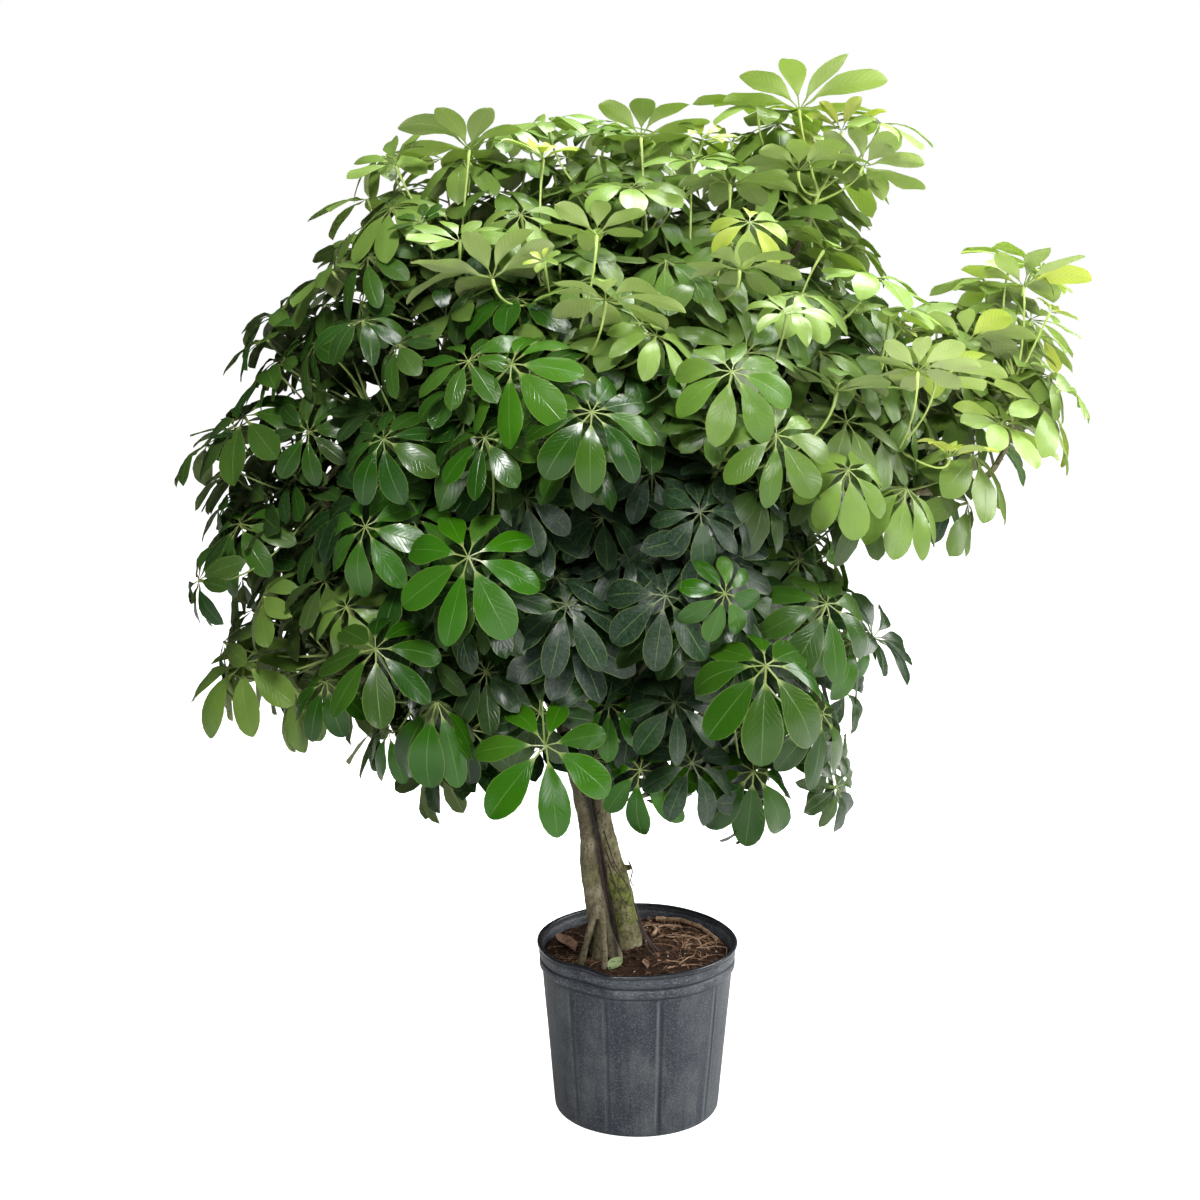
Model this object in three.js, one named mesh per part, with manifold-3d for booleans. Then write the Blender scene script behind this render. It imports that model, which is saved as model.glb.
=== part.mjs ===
// A potted umbrella plant: a twin-trunk, much branched plant in a black nursery container.
// Millimetres, +Z up. The origin is the middle of the pot's foot, on the floor, and the front is -Y.
import * as THREE from 'three';
import { mergeVertices } from 'three/addons/utils/BufferGeometryUtils.js';
import Module from 'manifold-3d';

const wasm = await Module();
wasm.setup();

const at = (x, y, z) => new THREE.Vector3(x, y, z);
const UP = at(0, 0, 1);

// ---- Driving dimensions -------------------------------------------------------------------------

const GAP = 0.35; // clearance between neighbouring pieces

const pot = {
  height: 242,
  rimRadius: 137.5,
  footRadius: 113,
  wall: 2.2,
  floor: 2.6,
  ledgeDrop: 38, // from the rim's top to the foot of the inner ledge
  segments: 32,
  drainHoles: 8,
  drainRadius: 8,
  drainCircle: 84,
};

const soil = { top: 222, bottom: 4, mound: 4, moundRadius: 42, slack: 0.9, segments: 24 };

// Woody stems: the points that each passes through, its radius at the two ends, and the swelling
// where it meets the soil.
const WOOD_SIDES = 7;
const trunks = {
  trunk_left: {
    path: [at(-40, -15, 110), at(-46, -15, 225), at(-57, -16, 290), at(-66, -17, 354), at(-68, -18, 403),
      at(-88, -24, 500), at(-122, -34, 600), at(-200, -48, 668), at(-300, -58, 735), at(-385, -60, 835),
      at(-425, -60, 915)],
    radii: [15, 5],
    flare: 6,
  },
  trunk_right: {
    path: [at(-2, 22, 110), at(-7, 20, 225), at(-20, 17, 300), at(-31, 14, 349), at(-41, 11, 406),
      at(-56, 6, 500), at(-68, 4, 580), at(-92, 8, 660), at(-80, 12, 770), at(-52, 16, 890),
      at(-28, 20, 1010), at(-14, 24, 1120)],
    radii: [21, 5],
    flare: 3,
  },
};
const limbs = {
  limb_right: {
    path: [at(-85, 10, 690), at(-20, -14, 745), at(50, -36, 785), at(144, -60, 816), at(260, -60, 863),
      at(389, -42, 872), at(449, -30, 886), at(490, -16, 950)],
    radii: [12, 4],
  },
  limb_upper_right: {
    path: [at(-56, 15, 870), at(30, 10, 970), at(120, 5, 1070), at(190, 0, 1160), at(216, -4, 1215)],
    radii: [9, 4],
  },
  limb_upper_left: {
    path: [at(-74, 12, 790), at(-140, 0, 920), at(-200, -14, 1050), at(-238, -24, 1150)],
    radii: [9, 4],
  },
  limb_front: {
    path: [at(-60, 5, 540), at(-14, -90, 610), at(20, -170, 710), at(36, -215, 820)],
    radii: [9, 4.5],
  },
  limb_front_left: {
    path: [at(-122, -34, 600), at(-150, -130, 690), at(-186, -210, 800), at(-172, -236, 920)],
    radii: [9, 4.5],
  },
  limb_front_top: {
    path: [at(-50, 16, 900), at(-52, -90, 975), at(-46, -175, 1040)],
    radii: [7, 4],
  },
  limb_low_left: {
    path: [at(-205, -48, 670), at(-290, -96, 640), at(-390, -92, 630)],
    radii: [7, 4],
  },
  limb_low_right: {
    path: [at(-52, 7, 480), at(20, -50, 535), at(90, -96, 590), at(150, -120, 640)],
    radii: [8, 4],
  },
  limb_back_low: {
    path: [at(-70, 4, 590), at(-56, 110, 625), at(-20, 210, 680)],
    radii: [9, 4.5],
  },
  limb_back_left: {
    path: [at(-92, 9, 680), at(-150, 110, 760), at(-230, 200, 840)],
    radii: [9, 4.5],
  },
  limb_back_right: {
    path: [at(-62, 14, 850), at(30, 110, 880), at(150, 200, 920)],
    radii: [8, 4],
  },
  limb_back_top: {
    path: [at(-32, 19, 990), at(-34, 110, 1050), at(0, 190, 1110)],
    radii: [7, 4],
  },
};
const aerialRoots = [
  [at(-56, -18, 296), at(-60, -40, 282), at(-69, -42, 250), at(-75, -34, 205)],
  [at(-56, -18, 290), at(-45, -42, 276), at(-47, -52, 250), at(-51, -52, 205)],
];
const AERIAL_ROOT_RADIUS = 3.2;
const surfaceRoots = {
  surface_root_edge: {
    path: [at(30, 113, 226), at(62, 106, 227), at(93, 76, 227), at(112, 32, 225.5)],
    radius: 3.4,
  },
  surface_root_back: {
    path: [at(22, 52, 225.5), at(28, 76, 225.4), at(16, 102, 224.6)],
    radius: 2.8,
  },
};
const LITTER_THICKNESS = 1.2;
const litter = {
  fallen_leaf_green: { middle: at(-31, -55, 0), length: 34, width: 18, turn: 62, curl: 3 },
  fallen_leaf_dry: { middle: at(-97, 17, 0), length: 54, width: 22, turn: 118, curl: 7 },
  bark_flake: { middle: at(11, -60, 0), length: 30, width: 11, turn: 97, curl: 4 },
};

// The leaves face away from the crown's heart, and up.
const crown = { heart: at(-30, 10, 860), halfSize: at(565, 410, 430), lowestSeat: 530 };
const stem = { radii: [3.6, 2.4], sides: 5, steps: 4 };
const petiole = {
  radius: 1.5,
  sides: 3,
  steps: 2,
  length: 95,
  spacing: 0.09,
  steep: 20, // degrees of droop past which the end sits deeper under the hub
  sink: 0.1, // by this many mm for each degree more
  curl: 0.4, // how far it runs straight under the hub, as a share of its reach
  hook: 0.78, // and how much further for a stalk that comes from above
};
const blade = { thickness: 2.4, notch: 0.2, shoulder: 0.6, halfWidth: 0.2, arch: 9 };

// A compound leaf: the place of its hub, how far its leaflets reach, and how it is turned. spin turns
// the ring of leaflets from straight down, and lift is the leaflets' rise above the hub's plane.
const leaf = (hub, reach, look = {}) => ({ hub, reach, leaflets: 8, spin: 0, lift: -14, ...look });
const upright = { face: at(0, 0.5, 0.86), lift: 26 };
const tippedBack = { face: at(0.15, 0.5, 0.85), lift: 24 };
const toLeft = { face: at(-0.8, -0.25, 0.55), lift: -12 };
const hanging = { face: at(0, -0.45, 0.9), lift: -52 };
const young = { leaflets: 6, lift: 30 };

// Leafy shoots that the front view shows, from the top left to the bottom right. tip is where the
// leaf stalks leave the green stem; a shoot without one ends a stalk's length behind its leaves.
const frontShoots = {
  crown_left: { leaves: [
    leaf(at(-212, -85, 1300), 95, { ...upright, spin: 20 }),
    leaf(at(-305, -60, 1282), 68, { ...young, face: at(-0.4, -0.3, 0.8) }),
    leaf(at(-312, -120, 1228), 88, { face: at(-0.5, -0.35, 0.7) }),
    leaf(at(-215, -235, 1195), 72, { face: at(0, -0.3, 1), lift: 22 }),
  ] },
  shoulder_left: { leaves: [
    leaf(at(-332, -145, 1175), 78, { face: at(-0.5, -0.4, 0.7) }),
    leaf(at(-335, -140, 1135), 82, { ...toLeft, spin: 20 }),
    leaf(at(-280, -165, 1215), 46, young),
    leaf(at(-290, -260, 1100), 72, { spin: 10 }),
  ] },
  upper_centre_left: { leaves: [
    leaf(at(-175, -280, 1155), 108, { face: at(-0.3, 0.45, 0.85), lift: 26, leaflets: 7 }),
    leaf(at(-120, -130, 1290), 60, { ...young, face: at(0.1, -0.1, 1) }),
    leaf(at(-115, -295, 1175), 27, young),
    leaf(at(-145, -185, 1225), 74, { face: at(-0.1, -0.5, 0.8) }),
  ] },
  crown_centre: { leaves: [
    leaf(at(0, -50, 1316), 94, { ...upright, spin: 10 }),
    leaf(at(60, -45, 1315), 50, { ...young, face: at(0.2, 0, 1) }),
    leaf(at(-15, -135, 1255), 82, { face: at(0, -0.2, 1), lift: 4 }),
  ] },
  upper_centre: { tip: at(-90, -235, 1050), leaves: [
    leaf(at(-55, -285, 1205), 76, { ...upright, lift: 30, leaflets: 6 }),
    leaf(at(-45, -355, 1135), 96, { face: at(0.1, 0.4, 0.9), lift: 10 }),
    leaf(at(-8, -330, 1110), 78, { face: at(0.4, -0.2, 0.9), lift: -6 }),
  ] },
  crown_right: { tip: at(226, -8, 1250), leaves: [
    leaf(at(200, -15, 1350), 122, { ...upright, lift: 28, spin: 22 }),
    leaf(at(195, -70, 1275), 88, { ...upright, face: at(0.05, 0.4, 0.9), lift: 22 }),
    leaf(at(258, -10, 1330), 68, { ...upright, lift: 36, leaflets: 6 }),
    leaf(at(272, -35, 1287), 94, { face: at(0.3, 0.5, 0.8), lift: 24 }),
  ] },
  upper_right: { leaves: [
    leaf(at(105, -155, 1260), 82, { face: at(0, 0.3, 0.95), lift: 10 }),
    leaf(at(110, -275, 1165), 78, { face: at(0, 0.5, 0.85), lift: 12 }),
    leaf(at(120, -235, 1212), 62, { face: at(0.1, -0.6, 0.7) }),
    leaf(at(60, -105, 1285), 74, { face: at(0, -0.1, 1), lift: 12 }),
  ] },
  shoulder_right: { leaves: [
    leaf(at(225, -105, 1180), 76, { face: at(0.6, 0.2, 0.8), lift: 10 }),
    leaf(at(180, -220, 1140), 76, { face: at(0.2, -0.3, 0.9) }),
    leaf(at(270, -155, 1130), 88, { face: at(0.4, 0.05, 1), lift: 4 }),
  ] },
  front_right: { tip: at(95, -250, 955), leaves: [
    leaf(at(95, -395, 1060), 86, { spin: 20, face: at(0.05, -0.75, 0.62) }),
    leaf(at(145, -400, 990), 80, { spin: 15, face: at(0.1, -0.8, 0.6) }),
    leaf(at(160, -340, 1120), 58, { ...young, face: at(0.1, -0.4, 0.9), lift: 8 }),
    leaf(at(225, -280, 1025), 86, { ...tippedBack, face: at(0.2, 0.2, 0.95) }),
  ] },
  front_centre: { tip: at(-130, -285, 1050), leaves: [
    leaf(at(-60, -435, 1020), 90, { leaflets: 9, face: at(0, -0.78, 0.62) }),
    leaf(at(-155, -390, 1065), 98, { spin: 25, face: at(-0.35, -0.6, 0.65) }),
    leaf(at(40, -310, 1095), 70, { spin: 12, face: at(0.1, -0.4, 0.9), lift: 6 }),
  ] },
  front_left: { leaves: [
    leaf(at(-300, -320, 975), 82, { face: at(-0.35, -0.7, 0.6), spin: 15 }),
    leaf(at(-325, -305, 870), 86, { face: at(-0.4, -0.75, 0.45) }),
    leaf(at(-355, -195, 1085), 80, { face: at(-0.45, -0.5, 0.7) }),
  ] },
  edge_upper_left: { leaves: [
    leaf(at(-405, -105, 1065), 72, toLeft),
    leaf(at(-455, -55, 1035), 66, { ...toLeft, lift: 6, leaflets: 7 }),
    leaf(at(-435, -30, 985), 66, { ...toLeft, spin: 15 }),
  ] },
  edge_left: { leaves: [
    leaf(at(-505, -55, 968), 98, { face: at(-0.4, -0.45, 0.8), lift: -10, spin: 10 }),
    leaf(at(-440, -125, 940), 76, { face: at(-0.5, -0.7, 0.5), lift: 4 }),
    leaf(at(-515, -60, 830), 92, { face: at(-0.4, -0.5, 0.7), lift: -18, spin: 22 }),
  ] },
  edge_low_left: { leaves: [
    leaf(at(-355, -265, 765), 66, { face: at(-0.3, -0.75, 0.6) }),
    leaf(at(-520, -40, 640), 106, { face: at(-0.3, -0.55, 0.75), lift: -12 }),
    leaf(at(-475, -80, 645), 98, hanging),
    leaf(at(-480, -110, 745), 72, toLeft),
  ] },
  low_left: { leaves: [
    leaf(at(-305, -330, 725), 96, { face: at(-0.15, -0.7, 0.7), spin: 14 }),
    leaf(at(-245, -310, 660), 110, hanging),
    leaf(at(-320, -150, 580), 76, { face: at(-0.35, -0.6, 0.7), lift: -36, spin: 10 }),
    leaf(at(-395, -150, 645), 80, { face: at(-0.1, -0.6, 0.75), lift: -34, spin: 22 }),
  ] },
  centre_left: { leaves: [
    leaf(at(-200, -390, 850), 104, { face: at(-0.1, -0.85, 0.5), spin: 10 }),
    leaf(at(-180, -385, 985), 72, { face: at(-0.2, -0.6, 0.75) }),
    leaf(at(-250, -320, 905), 72, { face: at(-0.3, -0.7, 0.6) }),
  ] },
  inner_centre: { leaves: [
    leaf(at(65, -320, 890), 72, { face: at(0.1, -0.85, 0.5) }),
    leaf(at(10, -275, 930), 64, { face: at(0, -0.7, 0.7) }),
    leaf(at(25, -340, 795), 88, { face: at(0, -0.85, 0.5), spin: 12 }),
  ] },
  inner_left: { leaves: [
    leaf(at(-90, -295, 775), 90, { face: at(0, -0.7, 0.7), spin: 10 }),
    leaf(at(-100, -255, 855), 62, { face: at(0.1, -0.7, 0.6) }),
    leaf(at(-145, -295, 900), 70, { face: at(-0.1, -0.7, 0.7) }),
  ] },
  low_centre: { tip: at(-125, -225, 715), leaves: [
    leaf(at(-115, -340, 614), 108, { leaflets: 7, spin: 38, face: at(0.05, -0.8, 0.6) }),
    leaf(at(0, -160, 530), 88, { face: at(-0.25, -0.8, 0.5), lift: -24, spin: 10 }),
    leaf(at(-50, -170, 625), 76, { face: at(0.1, -0.75, 0.6), spin: 15 }),
  ] },
  low_middle: { leaves: [
    leaf(at(65, -180, 545), 84, { face: at(0.15, -0.8, 0.55), lift: -20, spin: -12 }),
    leaf(at(40, -240, 640), 78, { face: at(0.1, -0.8, 0.5) }),
    leaf(at(105, -120, 570), 80, { face: at(0.15, -0.75, 0.6), lift: -16, spin: 8 }),
  ] },
  low_right: { tip: at(116, -220, 740), leaves: [
    leaf(at(140, -375, 720), 118, { face: at(0.1, -0.72, 0.68), lift: -26, spin: 10 }),
    leaf(at(145, -150, 525), 100, { face: at(0.2, -0.7, 0.65), lift: -32, spin: 18 }),
    leaf(at(225, -200, 615), 98, { face: at(0.45, -0.6, 0.6), lift: -30, spin: 14 }),
    leaf(at(90, -330, 775), 72, { face: at(0.2, -0.8, 0.55), spin: 20 }),
  ] },
  edge_low_right: { leaves: [
    leaf(at(220, -270, 770), 100, { face: at(0.3, -0.7, 0.65), lift: -22 }),
    leaf(at(200, -120, 795), 80, { face: at(0.5, -0.5, 0.6) }),
    leaf(at(270, -105, 685), 80, { face: at(0.6, -0.3, 0.7), lift: -30 }),
    leaf(at(258, -150, 605), 84, { face: at(0.25, -0.6, 0.7), lift: -26, spin: 12 }),
  ] },
  branch_low: { tip: at(290, -120, 880), leaves: [
    leaf(at(320, -210, 900), 90, { face: at(0.2, -0.35, 0.9), lift: -38 }),
    leaf(at(235, -325, 940), 84, { face: at(0.1, -0.75, 0.6), lift: -30 }),
    leaf(at(420, -100, 925), 100, { face: at(0.5, -0.2, 0.85), lift: -18 }),
  ] },
  branch_middle: { tip: at(315, -140, 940), leaves: [
    leaf(at(380, -160, 930), 60, { face: at(0.2, 0.1, 1), lift: 30 }),
    leaf(at(355, -185, 1030), 88, tippedBack),
    leaf(at(320, -245, 1045), 80, { ...tippedBack, spin: 20 }),
  ] },
  branch_end: { tip: at(488, -8, 1008), leaves: [
    leaf(at(494, 0, 1128), 102, upright),
    leaf(at(528, -8, 1096), 36, { ...young, face: at(0.5, 0, 0.8), leaflets: 7 }),
    leaf(at(505, -30, 990), 104, { face: at(0.75, -0.2, 0.6), lift: -4 }),
    leaf(at(455, -90, 955), 88, { face: at(0.3, -0.2, 0.95), lift: 6 }),
  ] },
  branch_upper: { leaves: [
    leaf(at(415, -40, 1060), 90, { ...tippedBack, spin: 10 }),
    leaf(at(305, -140, 1110), 76, { face: at(0.2, 0.1, 1), lift: 2 }),
    leaf(at(322, -170, 1098), 26, young),
  ] },
};

// Shoots that fill the back of the crown, each with a whorl of leaves, spaced by the golden angle.
// lowest and highest are heights as a share of the crown's half height, and fill is how far out of
// the crown's heart their tips are, as a share of its size. The crown leans over to the right, so
// low on the right and high on the left it is narrower, by narrowing times the height there.
const backShoots = {
  count: 12,
  leaves: 4,
  leaflets: 7,
  lowest: -0.62,
  highest: 0.86,
  fill: [0.78, 0.86, 0.86],
  narrowing: 0.77,
  reach: 88,
  petiole: 105,
  droop: [-22, -6],
};
const GOLDEN_ANGLE = Math.PI * (3 - Math.sqrt(5));
const GOLDEN_SHARE = (Math.sqrt(5) - 1) / 2;

// A leaf that would cut through a neighbour is turned and moved a little, at most this many times.
const settling = { tries: 18, spin: 40, shift: 3.2, tilt: 0.05, shrink: 0.012, seats: 16 };

const colours = {
  pot: [0x23272b, 0.5],
  soil: [0x3a2a1e, 0.95],
  bark: [0x9a9079, 0.85],
  root: [0x8a6a48, 0.9],
  leaf: [0x3f7d1f, 0.4],
  dryLeaf: [0x8d5f40, 0.8],
};

// ---- Ways of making a solid ---------------------------------------------------------------------

// A repeatable source of small differences, from 0 to 1.
function makeChance(seed) {
  let state = seed;
  return () => {
    state = (state * 1664525 + 1013904223) % 4294967296;
    return state / 4294967296;
  };
}
const chance = makeChance(20);

// A closed geometry as a solid, with its faces turned outwards.
function solidOf(geometry) {
  const loose = geometry.index ? geometry.toNonIndexed() : geometry.clone();
  loose.deleteAttribute('normal');
  loose.deleteAttribute('uv');
  const merged = mergeVertices(loose, 1e-3);
  const vertProperties = merged.attributes.position.array;
  const triVerts = new Uint32Array(merged.index.array);
  const solid = new wasm.Manifold(new wasm.Mesh({ numProp: 3, vertProperties, triVerts }));
  if (solid.volume() > 0) return solid;
  triVerts.reverse();
  return new wasm.Manifold(new wasm.Mesh({ numProp: 3, vertProperties, triVerts }));
}

function largestBody(solid) {
  return solid.decompose().reduce((best, body) => (body.volume() > best.volume() ? body : best));
}

// A regular outline with its corners on a circle of 1 mm.
function unitRing(sides) {
  const corners = [];
  for (let i = 0; i < sides; i += 1) {
    const angle = (2 * Math.PI * i) / sides;
    corners.push(new THREE.Vector2(Math.cos(angle), Math.sin(angle)));
  }
  return new THREE.Shape(corners);
}

// A closed tube along a curve, whose radius changes from end to end: a 1 mm section is swept, then
// each of its corners moves out from the nearest point of the curve to the radius there.
function tube(curve, radiusAt, sides, steps) {
  const sweep = { steps, bevelEnabled: false, extrudePath: curve };
  const geometry = new THREE.ExtrudeGeometry(unitRing(sides), sweep);
  const centres = curve.getSpacedPoints(steps);
  const corners = geometry.attributes.position;
  const corner = at(0, 0, 0);
  for (let i = 0; i < corners.count; i += 1) {
    corner.fromBufferAttribute(corners, i);
    const step = centres.reduce(
      (best, centre, k) => (centre.distanceTo(corner) < centres[best].distanceTo(corner) ? k : best), 0);
    corner.sub(centres[step]).multiplyScalar(radiusAt(step / steps)).add(centres[step]);
    corners.setXYZ(i, corner.x, corner.y, corner.z);
  }
  return solidOf(geometry);
}

const smoothCurve = (points) => new THREE.CatmullRomCurve3(points, false, 'centripetal');

// A woody stem. extra thickens it, for cutting its room out of a neighbour.
function wood({ path, radii, flare = 0 }, extra = 0) {
  const curve = smoothCurve(path);
  const steps = 2 * (path.length - 1);
  const radiusAt = (t) => {
    const height = curve.getPointAt(t).z - soil.top;
    const swelling = flare * Math.exp(-((height / 34) ** 2));
    return THREE.MathUtils.lerp(radii[0], radii[1], t ** 0.8) + swelling + extra;
  };
  return tube(curve, radiusAt, WOOD_SIDES, steps);
}

function root(path, radius, extra = 0) {
  return tube(smoothCurve(path), (t) => radius * (1 - 0.35 * t) + extra, 6, 2 * (path.length - 1));
}

// ---- Pot and soil -------------------------------------------------------------------------------

const rimDrop = (depth) => pot.height - depth;

// Outer radius of the tapered wall at a height.
function wallRadius(z) {
  const shoulder = pot.rimRadius - 6.5;
  return THREE.MathUtils.mapLinear(z, 0, rimDrop(30), pot.footRadius, shoulder);
}

// A profile of radii and heights, turned about the pot's axis.
function turned(profile, segments) {
  const corners = profile.map(([radius, z]) => new THREE.Vector2(radius, z));
  return solidOf(new THREE.LatheGeometry(corners, segments).rotateX(Math.PI / 2));
}

function nurseryPot() {
  const rim = pot.rimRadius;
  const ledge = rimDrop(pot.ledgeDrop);
  const outside = [[0, 0], [pot.footRadius - 5, 0], [wallRadius(5), 5],
    [wallRadius(rimDrop(35)), rimDrop(35)], [rim - 4, rimDrop(33)], [rim - 4, rimDrop(29)],
    [rim - 6, rimDrop(27)], [rim - 3.2, rimDrop(24)], [rim - 2.4, rimDrop(6)], [rim, rimDrop(4)],
    [rim - 0.6, pot.height]];
  const inside = [[rim - 5.5, pot.height], [rim - 6.2, rimDrop(9)], [rim - 8.6, rimDrop(11)],
    [wallRadius(ledge) - pot.wall, ledge], [wallRadius(pot.floor) - pot.wall, pot.floor],
    [0, pot.floor]];
  let solid = turned([...outside, ...inside], pot.segments);
  for (let i = 0; i < pot.drainHoles; i += 1) {
    const angle = (2 * Math.PI * i) / pot.drainHoles;
    const hole = new THREE.CylinderGeometry(pot.drainRadius, pot.drainRadius, 12, 10);
    hole.rotateX(Math.PI / 2);
    hole.translate(pot.drainCircle * Math.cos(angle), pot.drainCircle * Math.sin(angle), 1);
    solid = solid.subtract(solidOf(hole));
  }
  return solid;
}

// The root ball and its potting mix, with room left for the two trunks and the aerial roots.
function pottingSoil() {
  const side = (z) => wallRadius(z) - pot.wall - GAP - soil.slack;
  const ledge = rimDrop(pot.ledgeDrop);
  const profile = [[0, soil.bottom], [side(soil.bottom) - 6, soil.bottom], [side(14), 14],
    [side(ledge), ledge], [side(ledge), soil.top - 2], [side(ledge) - 5, soil.top],
    [soil.moundRadius, soil.top], [soil.moundRadius / 2, soil.top + soil.mound * 0.8],
    [0, soil.top + soil.mound]];
  let solid = turned(profile, soil.segments);
  for (const trunk of Object.values(trunks)) solid = solid.subtract(wood(trunk, GAP));
  for (const path of aerialRoots) solid = solid.subtract(root(path, AERIAL_ROOT_RADIUS, GAP));
  return largestBody(solid);
}

// ---- Litter -------------------------------------------------------------------------------------

// A loose leaf or flake that lies on the soil: a thin pointed slip with curled sides.
function litterPiece({ middle, length, width, turn, curl }) {
  const outline = new THREE.Shape();
  outline.moveTo(-length / 2, 0);
  outline.quadraticCurveTo(0, -width, length / 2, 0);
  outline.quadraticCurveTo(0, width, -length / 2, 0);
  const slip = { depth: LITTER_THICKNESS, bevelEnabled: false, curveSegments: 6 };
  const geometry = new THREE.ExtrudeGeometry(outline, slip);
  const corners = geometry.attributes.position;
  for (let i = 0; i < corners.count; i += 1) {
    const rise = curl * ((2 * corners.getY(i)) / width) ** 2;
    corners.setZ(i, corners.getZ(i) + rise);
  }
  geometry.rotateZ(THREE.MathUtils.degToRad(turn));
  geometry.translate(middle.x, middle.y, soil.top + GAP);
  return solidOf(geometry);
}

// ---- Leaves -------------------------------------------------------------------------------------

// The way a leaf faces, and two directions in the plane of its hub: down, and across.
function leafFrame({ hub, face }) {
  const outward = hub.clone().sub(crown.heart).setZ(0).normalize();
  const normal = (face ?? outward.clone().multiplyScalar(0.8).add(UP)).clone().normalize();
  const down = at(0, 0, -1).addScaledVector(outward, 0.35).projectOnPlane(normal).normalize();
  return { normal, down, across: down.clone().cross(normal) };
}

// The leaf's edge, in turn about the hub: a notch, a shoulder, the tip and a shoulder per leaflet.
function leafEdge(shape) {
  const { hub, reach, leaflets, spin, lift } = shape;
  const { normal, down, across } = leafFrame(shape);
  const half = Math.PI / leaflets;
  const shoulderTurn = Math.min(Math.atan(blade.halfWidth / blade.shoulder), 0.88 * half);
  const edge = [];
  const add = (distance, turn, rise) => {
    const rising = THREE.MathUtils.degToRad(rise);
    const corner = hub.clone()
      .addScaledVector(down, distance * Math.cos(turn) * Math.cos(rising))
      .addScaledVector(across, distance * Math.sin(turn) * Math.cos(rising))
      .addScaledVector(normal, distance * Math.sin(rising));
    edge.push({ corner, turn });
  };
  for (let i = 0; i < leaflets; i += 1) {
    const turn = THREE.MathUtils.degToRad(spin) + 2 * half * i;
    const length = reach * (0.88 + 0.12 * Math.cos(turn));
    add(blade.notch * reach, turn - half, lift + blade.arch);
    add(blade.shoulder * length, turn - shoulderTurn, lift + blade.arch);
    add(length, turn, lift - blade.arch);
    add(blade.shoulder * length, turn + shoulderTurn, lift + blade.arch);
  }
  return edge;
}

// The ring of leaflets alone, thickest at the hub and sharp at its edge.
function bladeSolid(shape) {
  const { normal } = leafFrame(shape);
  const top = shape.hub.clone().addScaledVector(normal, blade.thickness / 2);
  const underside = shape.hub.clone().addScaledVector(normal, -blade.thickness / 2);
  const edge = leafEdge(shape);
  const corners = [];
  edge.forEach(({ corner }, i) => {
    const next = edge[(i + 1) % edge.length].corner;
    corners.push(top, corner, next, underside, next, corner);
  });
  return solidOf(new THREE.BufferGeometry().setFromPoints(corners));
}

// The rings of a leaf's stalk, from the underside of the hub to its start on the green stem.
function stalkRings(shape, start) {
  const { normal } = leafFrame(shape);
  const depth = blade.thickness / 2 + petiole.sink * Math.max(0, -shape.lift - petiole.steep);
  const end = shape.hub.clone().addScaledVector(normal, -depth);
  const rise = start.clone().sub(end).dot(normal);
  const straight = Math.max(petiole.curl * start.distanceTo(end), petiole.hook * rise);
  const bend = end.clone().addScaledVector(normal, -straight);
  const curve = new THREE.QuadraticBezierCurve3(end, bend, start);
  const { normals, binormals } = curve.computeFrenetFrames(petiole.steps);
  return curve.getSpacedPoints(petiole.steps).map((centre, step) => {
    const ring = [];
    for (let i = 0; i < petiole.sides; i += 1) {
      const angle = (2 * Math.PI * i) / petiole.sides;
      ring.push(centre.clone()
        .addScaledVector(normals[step], petiole.radius * Math.cos(angle))
        .addScaledVector(binormals[step], petiole.radius * Math.sin(angle)));
    }
    return ring;
  });
}

// A whole leaf as one closed body: leaflets whose underside runs into the stalk.
function leafSolid(shape, start) {
  const { normal, down, across } = leafFrame(shape);
  const top = shape.hub.clone().addScaledVector(normal, blade.thickness / 2);
  const edge = leafEdge(shape);
  const rings = stalkRings(shape, start);
  const { sides, steps } = petiole;
  const first = rings[0][0].clone().sub(shape.hub);
  const offset = Math.atan2(first.dot(across), first.dot(down));
  const side = (turn) => Math.round(((turn - offset) * sides) / (2 * Math.PI)) + 8 * sides;
  const corners = [];
  edge.forEach(({ corner, turn }, i) => {
    const last = i === edge.length - 1;
    const next = edge[last ? 0 : i + 1];
    const near = side(turn);
    const nextNear = last ? side(next.turn) + sides : side(next.turn);
    corners.push(top, corner, next.corner);
    corners.push(next.corner, corner, rings[0][near % sides]);
    for (let k = near; k < nextNear; k += 1) {
      corners.push(next.corner, rings[0][k % sides], rings[0][(k + 1) % sides]);
    }
  });
  for (let step = 0; step < steps; step += 1) {
    for (let k = 0; k < sides; k += 1) {
      const beside = (k + 1) % sides;
      corners.push(rings[step][beside], rings[step][k], rings[step + 1][k]);
      corners.push(rings[step][beside], rings[step + 1][k], rings[step + 1][beside]);
    }
  }
  corners.push(...rings[steps].toReversed());
  return solidOf(new THREE.BufferGeometry().setFromPoints(corners));
}

// ---- Fitting the crown together -----------------------------------------------------------------

const placed = [];

function place(name, solid) {
  const { min, max } = solid.boundingBox();
  placed.push({ name, solid, box: new THREE.Box3(at(...min), at(...max)) });
}

// Whether a solid cuts into a placed piece other than the ones named.
function isClear(solid, ...own) {
  const { min, max } = solid.boundingBox();
  const box = new THREE.Box3(at(...min), at(...max));
  return placed.every((other) => own.includes(other.name)
    || !box.intersectsBox(other.box)
    || solid.intersect(other.solid).isEmpty());
}

// The places where a shoot could leave the wood, the best first: near its tip, and rather below it
// than above.
function findSeats(tip) {
  const seats = [];
  for (const [name, { path }] of Object.entries({ ...trunks, ...limbs })) {
    const curve = smoothCurve(path);
    for (let t = 0.36; t < 0.99; t += 0.04) {
      const point = curve.getPointAt(t);
      const cost = point.distanceTo(tip) + 0.8 * Math.max(0, point.z - tip.z);
      if (point.z > crown.lowestSeat) seats.push({ name, point, cost });
    }
  }
  return seats.sort((a, b) => a.cost - b.cost).slice(0, settling.seats);
}

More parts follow.
